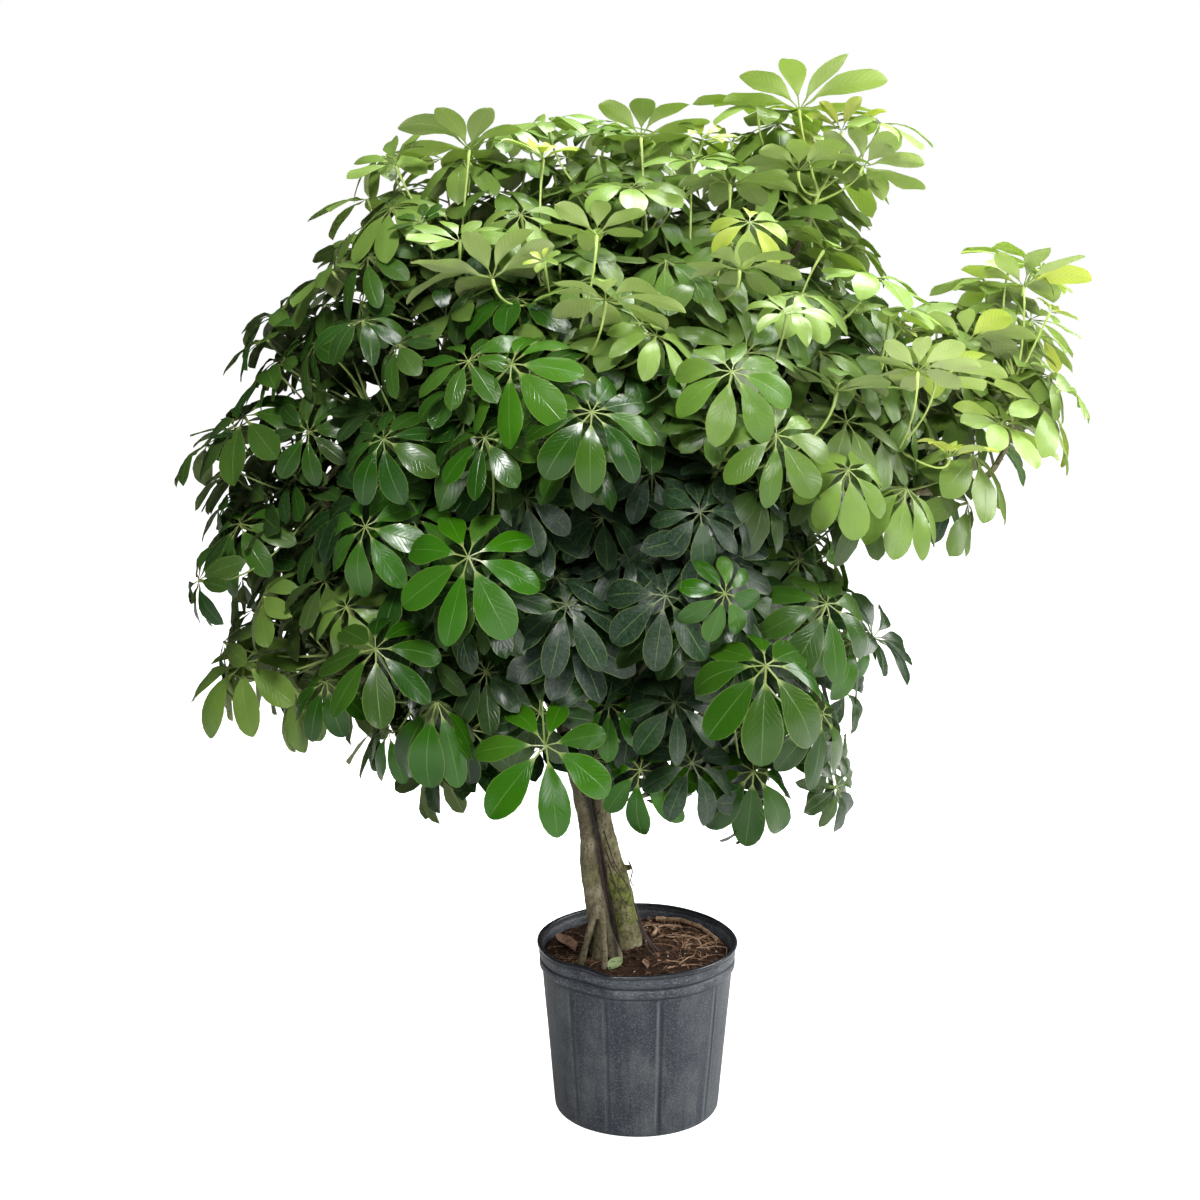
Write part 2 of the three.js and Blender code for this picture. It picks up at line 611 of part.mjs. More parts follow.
function tipBehind(leaves) {
  const tip = at(0, 0, 0);
  for (const shape of leaves) {
    const { normal } = leafFrame(shape);
    tip.add(shape.hub).addScaledVector(normal, -0.8 * petiole.length);
  }
  tip.divideScalar(leaves.length);
  return tip.lerp(crown.heart, 0.08);
}

// The green stem of a shoot: it leaves the wood, and curves up to its tip. Where that would cut
// through a neighbour, it takes a wider curve to one side, or another seat.
function makeStem(name, tip) {
  for (const seat of findSeats(tip)) {
    const run = tip.clone().sub(seat.point);
    const aside = run.clone().cross(UP).normalize();
    for (const bow of [0, 0.14, -0.14, 0.28, -0.28]) {
      const middle = seat.point.clone().lerp(tip, 0.5);
      middle.addScaledVector(UP, -0.07 * run.length()).addScaledVector(aside, bow * run.length());
      const curve = smoothCurve([seat.point, middle, tip]);
      const radiusAt = (t) => THREE.MathUtils.lerp(stem.radii[0], stem.radii[1], t);
      const solid = tube(curve, radiusAt, stem.sides, stem.steps);
      if (isClear(solid, seat.name)) return { name, curve, solid };
    }
  }
  return null;
}

// A slightly different turn and place for each try; the first try is the leaf as it is given.
function nudge(shape, attempt) {
  const shake = () => (chance() - 0.5) * 2;
  const aside = at(shake(), shake(), shake());
  const lean = at(shake(), shake(), shake());
  const face = leafFrame(shape).normal.addScaledVector(lean, settling.tilt * attempt);
  return {
    ...shape,
    hub: shape.hub.clone().addScaledVector(aside, settling.shift * attempt),
    face,
    spin: attempt ? shape.spin + shake() * settling.spin : shape.spin,
    reach: shape.reach * (1 - settling.shrink * attempt),
  };
}

// The leaf, settled between its neighbours, or nothing where it finds no room.
function settleLeaf(shape, shoot, order) {
  const start = shoot.curve.getPointAt(1 - petiole.spacing * order);
  for (let attempt = 0; attempt < settling.tries; attempt += 1) {
    const tried = nudge(shape, attempt);
    if (!isClear(bladeSolid(tried))) continue;
    const solid = leafSolid(tried, start);
    if (isClear(solid, shoot.name, ...shoot.ownLeaves)) return solid;
  }
  return null;
}

// ---- Assembly -----------------------------------------------------------------------------------

const plant = new THREE.Group();

function addPiece(name, solid, [color, roughness]) {
  const { vertProperties, triVerts } = solid.getMesh();
  const geometry = new THREE.BufferGeometry();
  geometry.setAttribute('position', new THREE.BufferAttribute(vertProperties, 3));
  geometry.setIndex(new THREE.BufferAttribute(triVerts, 1));
  geometry.computeVertexNormals();
  const material = new THREE.MeshStandardMaterial({ color, roughness, metalness: 0 });
  const mesh = new THREE.Mesh(geometry, material);
  mesh.name = name;
  plant.add(mesh);
}

addPiece('nursery_pot', nurseryPot(), colours.pot);
addPiece('potting_soil', pottingSoil(), colours.soil);

for (const [name, { path, radius }] of Object.entries(surfaceRoots)) {
  addPiece(name, root(path, radius), colours.root);
}
for (const [name, piece] of Object.entries(litter)) {
  addPiece(name, litterPiece(piece), name.endsWith('green') ? colours.leaf : colours.dryLeaf);
}

// Trunks first, then limbs, each cut back to the surface of the wood that it grows from.
const cutters = [];
for (const [name, shape] of Object.entries({ ...trunks, ...limbs })) {
  let solid = wood(shape);
  if (name === 'trunk_left') {
    for (const path of aerialRoots) solid = solid.add(root(path, AERIAL_ROOT_RADIUS));
  }
  for (const cutter of cutters) solid = solid.subtract(cutter);
  solid = largestBody(solid);
  cutters.push(wood(shape, GAP));
  place(name, solid);
  addPiece(name, solid, colours.bark);
}

// A whorl of leaves for a back shoot, each leaf a stalk's length out from the tip.
function whorl(tip) {
  const away = tip.clone().sub(crown.heart).normalize();
  const leaves = [];
  for (let i = 0; i < backShoots.leaves; i += 1) {
    const around = GOLDEN_ANGLE * i + 6 * chance();
    const aside = at(Math.cos(around), Math.sin(around), 0).projectOnPlane(away).normalize();
    const way = away.clone().addScaledVector(aside, i === 0 ? 0.2 : 1.15).addScaledVector(UP, 0.25);
    way.normalize();
    const hub = tip.clone().addScaledVector(way, backShoots.petiole * (0.85 + 0.3 * chance()));
    const face = away.clone().multiplyScalar(0.55).addScaledVector(way, 0.35).addScaledVector(UP, 0.6);
    const reach = backShoots.reach * (0.85 + 0.3 * chance());
    const lift = THREE.MathUtils.lerp(...backShoots.droop, chance());
    leaves.push(leaf(hub, reach, { face, leaflets: backShoots.leaflets, spin: 45 * chance(), lift }));
  }
  return leaves;
}

const shoots = { ...frontShoots };
for (let i = 0; i < backShoots.count; i += 1) {
  const { count, lowest, highest, fill, narrowing } = backShoots;
  const height = THREE.MathUtils.lerp(lowest, highest, i / (count - 1));
  const level = Math.sqrt(1 - height ** 2);
  const turn = Math.PI * (0.06 + 0.88 * ((i * GOLDEN_SHARE) % 1));
  const narrow = 1 - narrowing * Math.max(0, -height * Math.sign(Math.cos(turn)));
  const out = at(narrow * level * Math.cos(turn), level * Math.sin(turn), height);
  const tip = out.multiply(at(...fill)).multiply(crown.halfSize).add(crown.heart);
  shoots[`back_${i + 1}`] = { tip, leaves: whorl(tip) };
}

// All stems are placed before any leaf, so that the leaves settle between them.
const grown = [];
for (const [name, { tip, leaves }] of Object.entries(shoots)) {
  const shoot = makeStem(`shoot_${name}`, tip ?? tipBehind(leaves));
  if (!shoot) continue;
  place(shoot.name, shoot.solid);
  grown.push({ ...shoot, leaves, ownLeaves: [] });
}
for (let order = 0; order < 4; order += 1) {
  for (const shoot of grown) {
    const shape = shoot.leaves[order];
    const settled = shape && settleLeaf(shape, shoot, order);
    if (!settled) continue;
    const name = `${shoot.name}_leaf_${order}`;
    place(name, settled);
    shoot.ownLeaves.push(name);
    shoot.solid = shoot.solid.add(settled);
  }
}
for (const shoot of grown) {
  let solid = shoot.solid;
  for (const cutter of cutters) solid = solid.subtract(cutter);
  addPiece(shoot.name, largestBody(solid), colours.leaf);
}

export default plant;
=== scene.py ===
"""A potted umbrella plant: two woody trunks and a bushy crown of ringed leaflets, in a black container."""

import math

import bpy
import numpy as np
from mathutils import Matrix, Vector, noise


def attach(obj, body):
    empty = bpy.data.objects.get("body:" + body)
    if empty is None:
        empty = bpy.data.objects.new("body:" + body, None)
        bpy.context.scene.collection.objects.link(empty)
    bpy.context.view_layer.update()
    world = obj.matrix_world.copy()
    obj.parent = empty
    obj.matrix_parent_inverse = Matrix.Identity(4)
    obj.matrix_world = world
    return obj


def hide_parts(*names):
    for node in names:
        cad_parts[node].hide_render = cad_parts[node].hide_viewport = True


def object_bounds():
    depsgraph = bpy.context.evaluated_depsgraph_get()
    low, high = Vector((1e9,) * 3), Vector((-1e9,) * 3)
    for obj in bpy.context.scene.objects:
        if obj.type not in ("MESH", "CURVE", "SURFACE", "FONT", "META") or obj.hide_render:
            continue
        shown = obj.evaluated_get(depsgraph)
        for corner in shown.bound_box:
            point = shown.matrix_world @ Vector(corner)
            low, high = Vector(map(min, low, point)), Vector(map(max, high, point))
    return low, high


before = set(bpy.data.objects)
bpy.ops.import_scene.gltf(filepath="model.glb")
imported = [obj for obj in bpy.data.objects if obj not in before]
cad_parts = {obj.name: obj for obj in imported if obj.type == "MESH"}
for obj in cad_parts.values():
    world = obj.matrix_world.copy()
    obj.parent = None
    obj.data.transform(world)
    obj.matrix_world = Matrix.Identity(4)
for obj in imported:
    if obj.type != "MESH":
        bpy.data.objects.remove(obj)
cad_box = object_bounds()
bpy.ops.object.select_all(action="DESELECT")

# ---- Nursery container ---------------------------------------------------------------------------
# A round container blow-moulded in black polyethylene, with a rolled lip, a collar band, a bead and
# eight double seam ribs down its wall. It is scuffed and dusty, and its lip is pushed in a little.

SEGMENTS = 480
CONTAINER_HEIGHT = 0.242
WALL_TOP = 0.204  # where the plain wall ends, under the bead
WALL_OUT = [  # radius and height of the outside, from the foot to the lip, mm
    (104, 1.2), (106.5, 0.2), (110.5, 0), (112.6, 1.0), (113.7, 3.2), (114.2, 7), (115.6, 24),
    (117.2, 44), (118.9, 64), (120.5, 84), (122.2, 104), (123.8, 124), (125.5, 144), (127.1, 164),
    (128.8, 184), (130.0, 200), (130.4, 204.6), (132.8, 206.0), (134.1, 208.4), (134.3, 213.2),
    (133.4, 216.8), (131.2, 218.6), (131.3, 220.2), (133.9, 221.8), (134.8, 224.6), (135.0, 229),
    (135.1, 233.6), (134.6, 235.2), (136.2, 236.4), (137.3, 238.4), (137.4, 240.2), (136.7, 241.6),
    (135.4, 242.2),
]
WALL_IN = [  # and of the inside, from the lip down to the floor
    (133.6, 242.1), (132.2, 241.3), (131.4, 239.4), (131.2, 234), (130.0, 232), (128.9, 230.6),
    (128.3, 218), (127.8, 205), (124.5, 166), (119.6, 106), (114.8, 48), (111.6, 8), (108.5, 3.0),
    (104, 2.6),
]


def new_mesh_object(name, mesh):
    piece = bpy.data.objects.new(name, mesh)
    bpy.context.scene.collection.objects.link(piece)
    return piece


def make_active(piece):
    bpy.ops.object.select_all(action="DESELECT")
    piece.select_set(True)
    bpy.context.view_layer.objects.active = piece


def edit_all():
    """Opens the active piece's mesh, with all of it selected."""
    bpy.ops.object.mode_set(mode="EDIT")
    bpy.ops.mesh.select_all(action="SELECT")


def apply_modifiers(piece):
    make_active(piece)
    for modifier in list(piece.modifiers):
        bpy.ops.object.modifier_apply(modifier=modifier.name)


def finish_piece(piece, slot, *nodes, angle=0.7):
    make_active(piece)
    bpy.ops.object.shade_smooth_by_angle(angle=angle)
    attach(piece, "root")
    if nodes:
        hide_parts(*nodes)


def turned_shell(name, profile):
    """A ring that is extruded and resized from step to step of a profile, closed flat at both ends."""
    first = profile[0]
    bpy.ops.mesh.primitive_circle_add(vertices=SEGMENTS, radius=first[0] / 1000, fill_type="NGON",
                                      location=(0, 0, first[1] / 1000))
    shell = bpy.context.object
    shell.name = name
    edit_all()
    for (radius, height), (wider, higher) in zip(profile, profile[1:]):
        bpy.ops.mesh.extrude_region_move(
            TRANSFORM_OT_translate={"value": (0, 0, (higher - height) / 1000)})
        bpy.ops.transform.resize(value=(wider / radius, wider / radius, 1))
    bpy.ops.mesh.select_all(action="SELECT")
    bpy.ops.mesh.normals_make_consistent(inside=False)
    bpy.ops.object.mode_set(mode="OBJECT")
    return shell


container = turned_shell("nursery_container", WALL_OUT + WALL_IN)
bpy.ops.object.transform_apply(location=True, rotation=True, scale=True)


def bump_of(x, middle, width):
    return math.exp(-(((x - middle) / width) ** 2))


def turn_gap(angle, middle):
    return (angle - middle + math.pi) % (2 * math.pi) - math.pi


SEAMS = [(math.radians(a), depth) for a, depth in (
    (-76.5, 1.0), (-37, 0.7), (-110, 0.6), (-135, 0.75), (165, 0.8), (75, 1.0), (30, 0.5), (120, 0.6))]
DENT = math.radians(-125)
seam_marks = np.zeros((len(container.data.vertices), 2))
for vertex in container.data.vertices:
    x, y, z = vertex.co
    radius, angle = math.hypot(x, y), math.atan2(y, x)
    if radius < 0.1045:
        continue
    share = z / CONTAINER_HEIGHT
    outside = radius > 0.1135 + 0.076 * z - 0.0008 if z < 0.206 else False
    push = 0.0007 * math.cos(2 * angle + 0.6) * share + 0.0005 * math.cos(3 * angle + 1.1) * share
    push -= 0.0098 * bump_of(turn_gap(angle, DENT), 0, 0.19) * share ** 7
    push += 0.0034 * bump_of(turn_gap(angle, DENT), 0.33, 0.11) * share ** 7
    push += 0.0004 * noise.noise(Vector((3 * math.cos(angle), 3 * math.sin(angle), 14 * z)))
    if outside and 0.004 < z < WALL_TOP:
        fade = min(1, (z - 0.004) / 0.006) * min(1, (WALL_TOP - z) / 0.006)
        for seam, depth in SEAMS:
            away = turn_gap(angle, seam) * radius * 1000
            if abs(away) < 12:
                ridge = bump_of(away, -3.4, 1.4) + bump_of(away, 3.4, 1.4) - 0.8 * bump_of(away, 0, 2.2)
                push += 0.0007 * ridge * fade * depth
                dirt = depth * fade * (1.3 * bump_of(away, 1.8, 1.9) + 0.8 * bump_of(away, 0, 6) * share ** 5)
                seam_marks[vertex.index] = (min(1, dirt), bump_of(away, -4.0, 1.2) * fade * depth)
    drop = -0.0012 * bump_of(turn_gap(angle, DENT), 0, 0.22) * share ** 9
    drop += 0.0011 * (1 + math.sin(3 * angle + 0.8)) * share ** 20
    vertex.co = (x * (1 + push / radius), y * (1 + push / radius), z - drop)
seams = container.data.color_attributes.new("seams", "FLOAT_COLOR", "POINT")
seams.data.foreach_set("color", np.hstack([seam_marks, np.ones((len(seam_marks), 2))]).ravel())


def material(name, roughness, **sockets):
    """A material with a Principled shader, and a shorthand for adding and joining its nodes."""
    made = bpy.data.materials.new(name)
    made.use_nodes = True
    tree = made.node_tree
    shader = tree.nodes["Principled BSDF"]
    if roughness is not None:
        shader.inputs["Roughness"].default_value = roughness
    for socket, value in sockets.items():
        shader.inputs[socket.replace("_", " ")].default_value = value

    def add(kind, *links, **values):
        node = tree.nodes.new(kind)
        for key, value in values.items():
            if hasattr(node, key):
                setattr(node, key, value)
            else:
                node.inputs[key.replace("_", " ")].default_value = value
        for socket, source in links:
            tree.links.new(source, node.inputs[socket])
        return node

    add.tree, add.shader = tree, shader
    return made, add


def math_node(add, operation, first, second=None):
    node = add("ShaderNodeMath", operation=operation)
    for socket, value in enumerate((first, second)):
        if value is None:
            continue
        if isinstance(value, (int, float)):
            node.inputs[socket].default_value = value
        else:
            add.tree.links.new(value, node.inputs[socket])
    return node.outputs[0]


def times(add, first, second):
    return math_node(add, "MULTIPLY", first, second)


def plus(add, first, second):
    return math_node(add, "ADD", first, second)


def ramp(add, source, *stops):
    """Colours along a value: each stop is a place and a colour, or a place and a grey."""
    node = add("ShaderNodeValToRGB", ("Fac", source))
    elements = node.color_ramp.elements
    while len(elements) < len(stops):
        elements.new(0.5)
    for element, (place, colour) in zip(elements, stops):
        element.position = place
        element.color = (colour, colour, colour, 1) if isinstance(colour, (int, float)) else (*colour, 1)
    return node.outputs["Color"]


def blend_colours(add, factor, first, second):
    node = add("ShaderNodeMix", data_type="RGBA")
    for socket, value in ((0, factor), (6, first), (7, second)):
        if isinstance(value, (int, float)):
            node.inputs[socket].default_value = value
        elif isinstance(value, tuple):
            node.inputs[socket].default_value = (*value, 1)
        else:
            add.tree.links.new(value, node.inputs[socket])
    return node.outputs[2]


def coats(add, base, *layers):
    """Colours laid one over another: each layer is how much it covers, and its colour."""
    for cover, colour in layers:
        base = blend_colours(add, cover, base, colour)
    return base


def paint(add, colour):
    add.tree.links.new(colour, add.shader.inputs["Base Color"])


def noise_node(add, where, scale, detail=4, roughness=0.55, distortion=0):
    node = add("ShaderNodeTexNoise", ("Vector", where), Scale=scale, Detail=detail, Roughness=roughness,
               Distortion=distortion)
    return node.outputs["Fac"]


def bump_node(add, height, strength, distance):
    node = add("ShaderNodeBump", ("Height", height), Strength=strength, Distance=distance)
    add.tree.links.new(node.outputs["Normal"], add.shader.inputs["Normal"])


def object_place(add, scale=(1, 1, 1)):
    coordinates = add("ShaderNodeTexCoord")
    mapping = add("ShaderNodeMapping", ("Vector", coordinates.outputs["Object"]))
    mapping.inputs["Scale"].default_value = scale
    return mapping.outputs["Vector"]


plastic, add = material("black_polyethylene", None, Specular_IOR_Level=0.32)
place = object_place(add)
streaks = noise_node(add, object_place(add, (1, 1, 0.10)), 44, 5, 0.65)
clouds = noise_node(add, place, 15, 6, 0.68)
grain = noise_node(add, place, 430, 4, 0.8)
scuffs = noise_node(add, object_place(add, (1, 1, 6)), 85, 6, 0.75, 1.4)
height = add("ShaderNodeSeparateXYZ", ("Vector", place)).outputs["Z"]
level = times(add, height, 4)  # a height of 0.25 m is 1
dust = ramp(add, clouds, (0.36, (0.0150, 0.0178, 0.0270)), (0.50, (0.0335, 0.0390, 0.0460)),
            (0.66, (0.0590, 0.0670, 0.0710)))
collar = ramp(add, level, (0.822, 0), (0.832, 1))
rubbed = times(add, collar, ramp(add, scuffs, (0.54, 0), (0.66, 0.80)))
seam_paint = add("ShaderNodeAttribute", attribute_name="seams").outputs["Color"]
marks = add("ShaderNodeSeparateColor", ("Color", seam_paint))
worn = times(add, marks.outputs["Green"], ramp(add, streaks, (0.35, 0.15), (0.65, 0.75)))
dirty = times(add, marks.outputs["Red"], ramp(add, scuffs, (0.30, 0.95), (0.70, 0.45)))
# Painted shade: near-black lines under the bead, in the groove between the bead and the collar, and under the
# lip.
groove_shade = ramp(add, level, (0.810, 0), (0.818, 0.8), (0.826, 0), (0.866, 0), (0.876, 0.85), (0.884, 0),
               (0.932, 0), (0.941, 0.9), (0.948, 0))
lip = ramp(add, level, (0.946, 0), (0.956, 1))
coated = coats(
    add, dust,
    (ramp(add, streaks, (0.46, 0), (0.60, 0.90)), (0.0120, 0.0140, 0.0240)),
    (ramp(add, grain, (0.50, 0), (0.70, 0.58)), (0.150, 0.166, 0.172)),
    (ramp(add, grain, (0.30, 0.6), (0.46, 0)), (0.012, 0.014, 0.018)),
    (rubbed, (0.190, 0.202, 0.215)), (dirty, (0.006, 0.007, 0.011)), (worn, (0.150, 0.165, 0.180)),
    (groove_shade, (0.005, 0.006, 0.008)), (times(add, lip, 0.90), (0.008, 0.009, 0.012)))
plain = ramp(add, clouds, (0.3, 0.42), (0.75, 0.66))
glossed = math_node(add, "SUBTRACT", plain, times(add, lip, 0.26))
paint(add, coated)
add.tree.links.new(glossed, add.shader.inputs["Roughness"])
bump_node(add, blend_colours(add, 0.5, grain, scuffs), 0.35, 0.0008)
container.data.materials.append(plastic)
finish_piece(container, "pot", "nursery_pot", angle=0.9)

# ---- Potting soil --------------------------------------------------------------------------------
# Dark bark mix that has settled a little below the lip, higher about the trunks. Loose bark chips,
# fine dead roots and a few white grains of perlite lie on it.

SOIL_TOP, SOIL_RADIUS = 0.222, 0.1268
rng = np.random.default_rng(11)


def soil_height(x, y):
    radius = math.hypot(x, y)
    lumps = noise.fractal(Vector((26 * x, 26 * y, 3.1)), 0.9, 2.1, 5)
    fine = noise.fractal(Vector((150 * x, 150 * y, 1.7)), 0.7, 2.3, 4)
    mound = 0.0050 * math.exp(-((radius / 0.052) ** 2))
    hollow = 0.0035 * math.exp(-(((x - 0.055) ** 2 + (y - 0.01) ** 2) / 0.035 ** 2))
    return SOIL_TOP + mound - hollow + 0.0024 * lumps + 0.0011 * fine


bpy.ops.mesh.primitive_circle_add(vertices=96, radius=SOIL_RADIUS, fill_type="NGON",
                                  location=(0, 0, SOIL_TOP))
soil = bpy.context.object
soil.name = "soil"
edit_all()
for ring in range(42):
    bpy.ops.mesh.inset(thickness=0.00295, depth=0)
bpy.ops.mesh.poke()
bpy.ops.object.mode_set(mode="OBJECT")
bpy.ops.object.transform_apply(location=True, rotation=True, scale=True)
for vertex in soil.data.vertices:
    x, y, _ = vertex.co
    dented = bump_of(turn_gap(math.atan2(y, x), DENT), 0, 0.24) * (math.hypot(x, y) / SOIL_RADIUS) ** 6
    x, y = x * (1 - 0.042 * dented), y * (1 - 0.042 * dented)
    vertex.co = (x, y, soil_height(x, y))
edit_all()
bpy.ops.mesh.extrude_region_move(TRANSFORM_OT_translate={"value": (0, 0, -0.03)})
bpy.ops.transform.resize(value=(0.985, 0.985, 0))
bpy.ops.mesh.select_all(action="SELECT")
bpy.ops.mesh.normals_make_consistent(inside=False)
bpy.ops.object.mode_set(mode="OBJECT")

earth, add = material("bark_mix", 0.95, Specular_IOR_Level=0.08)
place = object_place(add)
crumbs = noise_node(add, place, 240, 6, 0.7)
patches = noise_node(add, place, 34, 4, 0.6)
fibres = add("ShaderNodeTexVoronoi", ("Vector", object_place(add, (1, 2.4, 1))), Scale=260.0,
             feature="DISTANCE_TO_EDGE").outputs["Distance"]
brown = ramp(add, crumbs, (0.3, (0.004, 0.0025, 0.0018)), (0.5, (0.015, 0.008, 0.005)),
             (0.72, (0.060, 0.034, 0.020)))
mixed = blend_colours(add, ramp(add, patches, (0.4, 0), (0.7, 0.5)), brown, (0.045, 0.023, 0.013))
flecked = blend_colours(add, ramp(add, fibres, (0.0, 0.25), (0.05, 0)), mixed, (0.13, 0.075, 0.04))
paint(add, flecked)
bump_node(add, crumbs, 0.9, 0.002)
soil.data.materials.append(earth)
finish_piece(soil, "soil", "potting_soil", angle=1.2)


def arrays_of(piece):
    """The corners, faces, UVs and face materials of a modelled master, for making copies of it."""
    mesh = piece.data
    corners = np.array([v.co for v in mesh.vertices])
    faces = [list(p.vertices) for p in mesh.polygons]
    layer = mesh.uv_layers.active
    uvs = [[tuple(layer.data[i].uv) for i in p.loop_indices] for p in mesh.polygons] if layer else None
    kinds = [p.material_index for p in mesh.polygons]
    bpy.data.objects.remove(piece)
    return corners, faces, uvs, kinds


def scatter(name, masters, placements, finish, slot, angle=0.7):
    """One piece made of copies: each placement is a master's number, a 3x3 turn and size, and a place."""
    corners, faces = [], []
    base = 0
    for kind, turn, spot in placements:
        points, loops = masters[kind][0], masters[kind][1]
        corners.append(points @ np.asarray(turn).T + spot)
        faces += [[base + i for i in loop] for loop in loops]
        base += len(points)
    mesh = bpy.data.meshes.new(name)
    mesh.from_pydata(np.concatenate(corners).tolist(), [], faces)
    mesh.materials.append(finish)
    piece = new_mesh_object(name, mesh)
    finish_piece(piece, slot, angle=angle)
    return piece


def turn_matrix(about_z, tilt, roll, size):
    cz, sz, ct, st, cr, sr = (f(a) for a in (about_z, tilt, roll) for f in (math.cos, math.sin))
    z_turn = np.array([[cz, -sz, 0], [sz, cz, 0], [0, 0, 1]])
    y_turn = np.array([[ct, 0, st], [0, 1, 0], [-st, 0, ct]])
    x_turn = np.array([[1, 0, 0], [0, cr, -sr], [0, sr, cr]])
    return z_turn @ y_turn @ x_turn @ np.diag(size)


def chip_master(seed):
    """A flake of bark: a box of a few faces, its corners broken off unevenly."""
    bpy.ops.mesh.primitive_cube_add(size=0.001, location=(0, 0, 0))
    chip = bpy.context.object
    edit_all()
    bpy.ops.mesh.subdivide(number_cuts=1)
    bpy.ops.object.mode_set(mode="OBJECT")
    draw = np.random.default_rng(seed)
    for vertex in chip.data.vertices:
        vertex.co *= 1 - 0.24 * (vertex.co.length / 0.00087) ** 2
        vertex.co += Vector(draw.uniform(-0.00013, 0.00013, 3))
    return arrays_of(chip)


def on_soil(least, most):
    radius, angle = math.sqrt(rng.uniform(least ** 2, most ** 2)), rng.uniform(0, 2 * math.pi)
    x, y = radius * math.cos(angle), radius * math.sin(angle)
    return np.array([x, y, soil_height(x, y)])


chips = [chip_master(seed) for seed in range(5)]
placements = []
for i in range(900):
    size = rng.uniform(1.2, 3.2) if i % 4 else rng.uniform(3.2, 7.5)
    shape = (size * rng.uniform(1.0, 2.4), size, size * rng.uniform(0.25, 0.6))
    spot = on_soil(0.0, 0.1225) + (0, 0, 0.0002 * size)
    turn = turn_matrix(rng.uniform(0, 6.3), rng.uniform(-0.45, 0.45), rng.uniform(-0.45, 0.45), shape)
    placements.append((i % 5, turn, spot))
bark_bits, add = material("bark_chips", 0.9, Specular_IOR_Level=0.12)
place = object_place(add)
shade = noise_node(add, place, 130, 3)
paint(add, ramp(add, shade, (0.35, (0.010, 0.006, 0.004)), (0.52, (0.034, 0.018, 0.010)),
                (0.7, (0.130, 0.076, 0.046))))
bump_node(add, noise_node(add, object_place(add, (1, 1, 3)), 500, 4), 0.6, 0.0008)
scatter("soil_bark_chips", chips, placements, bark_bits, "soil", angle=0.5)

bpy.ops.mesh.primitive_ico_sphere_add(subdivisions=1, radius=0.001, location=(0, 0, 0))
grain_master = bpy.context.object
for vertex in grain_master.data.vertices:
    vertex.co += 0.00022 * Vector(rng.uniform(-1, 1, 3))
grains = [arrays_of(grain_master)]
placements = []
for i in range(46):
    size = rng.uniform(0.5, 1.25)
    spot = on_soil(0.02, 0.12) + (0, 0, 0.0005)
    placements.append((0, turn_matrix(rng.uniform(0, 6.3), 0, 0, (size, size, size * 0.8)), spot))
perlite, add = material("perlite", 0.9)
shade = noise_node(add, object_place(add), 700, 3)
paint(add, ramp(add, shade, (0.3, (0.35, 0.33, 0.29)), (0.7, (0.72, 0.70, 0.64))))
scatter("soil_perlite", grains, placements, perlite, "soil")


# ---- Dead roots on the soil ----------------------------------------------------------------------
# Two coarse brown roots run over the soil, one of them round the right edge, and a mat of thin dry
# rootlets lies about them. Each is a limp round strand that tapers to its end.

def smooth_path(points, steps):
    """Evenly many places on a smooth curve through the given points."""
    points = np.asarray(points, float)
    padded = np.vstack([2 * points[0] - points[1], points, 2 * points[-1] - points[-2]])
    spans = len(points) - 1
    made = []
    for step in range(steps + 1):
        along = step * spans / steps
        i = min(int(along), spans - 1)
        t = along - i
        a, b, c, d = padded[i:i + 4]
        made.append(0.5 * (2 * b + (c - a) * t + (2 * a - 5 * b + 4 * c - d) * t * t
                           + (3 * b - a - 3 * c + d) * t ** 3))
    return np.array(made)


def strand(path, radii, sides):
    """A closed round strand along a path, as corners and faces."""
    path = np.asarray(path, float)
    along = np.gradient(path, axis=0)
    along /= np.linalg.norm(along, axis=1)[:, None]
    side = np.cross(along[0], (0.31, 0.17, 0.93))
    corners, faces = [], []
    angles = np.arange(sides) * 2 * math.pi / sides
    for i, (centre, way, radius) in enumerate(zip(path, along, radii)):
        side = side - way * side.dot(way)
        side /= np.linalg.norm(side)
        up = np.cross(way, side)
        corners.append(centre + radius * (np.outer(np.cos(angles), side) + np.outer(np.sin(angles), up)))
    count = len(path)
    for i in range(count - 1):
        for k in range(sides):
            m = (k + 1) % sides
            faces.append([i * sides + k, i * sides + m, (i + 1) * sides + m, (i + 1) * sides + k])
    faces.append(list(range(sides - 1, -1, -1)))
    faces.append([(count - 1) * sides + k for k in range(sides)])
    return np.vstack(corners), faces


def strands_piece(name, strands, finish):
    corners, faces, base = [], [], 0
    for points, loops in strands:
        corners.append(points)
        faces += [[base + i for i in loop] for loop in loops]
        base += len(points)
    mesh = bpy.data.meshes.new(name)
    mesh.from_pydata(np.concatenate(corners).tolist(), [], faces)
    mesh.materials.append(finish)
    return new_mesh_object(name, mesh)


def root_material(name, dark, light):
    made, add = material(name, 0.85)
    place = object_place(add)
    shade = noise_node(add, place, 160, 4, 0.65)
    colour = ramp(add, shade, (0.34, dark), (0.66, light))
    paint(add, colour)
    bump_node(add, noise_node(add, place, 620, 3), 0.5, 0.0006)
    return made


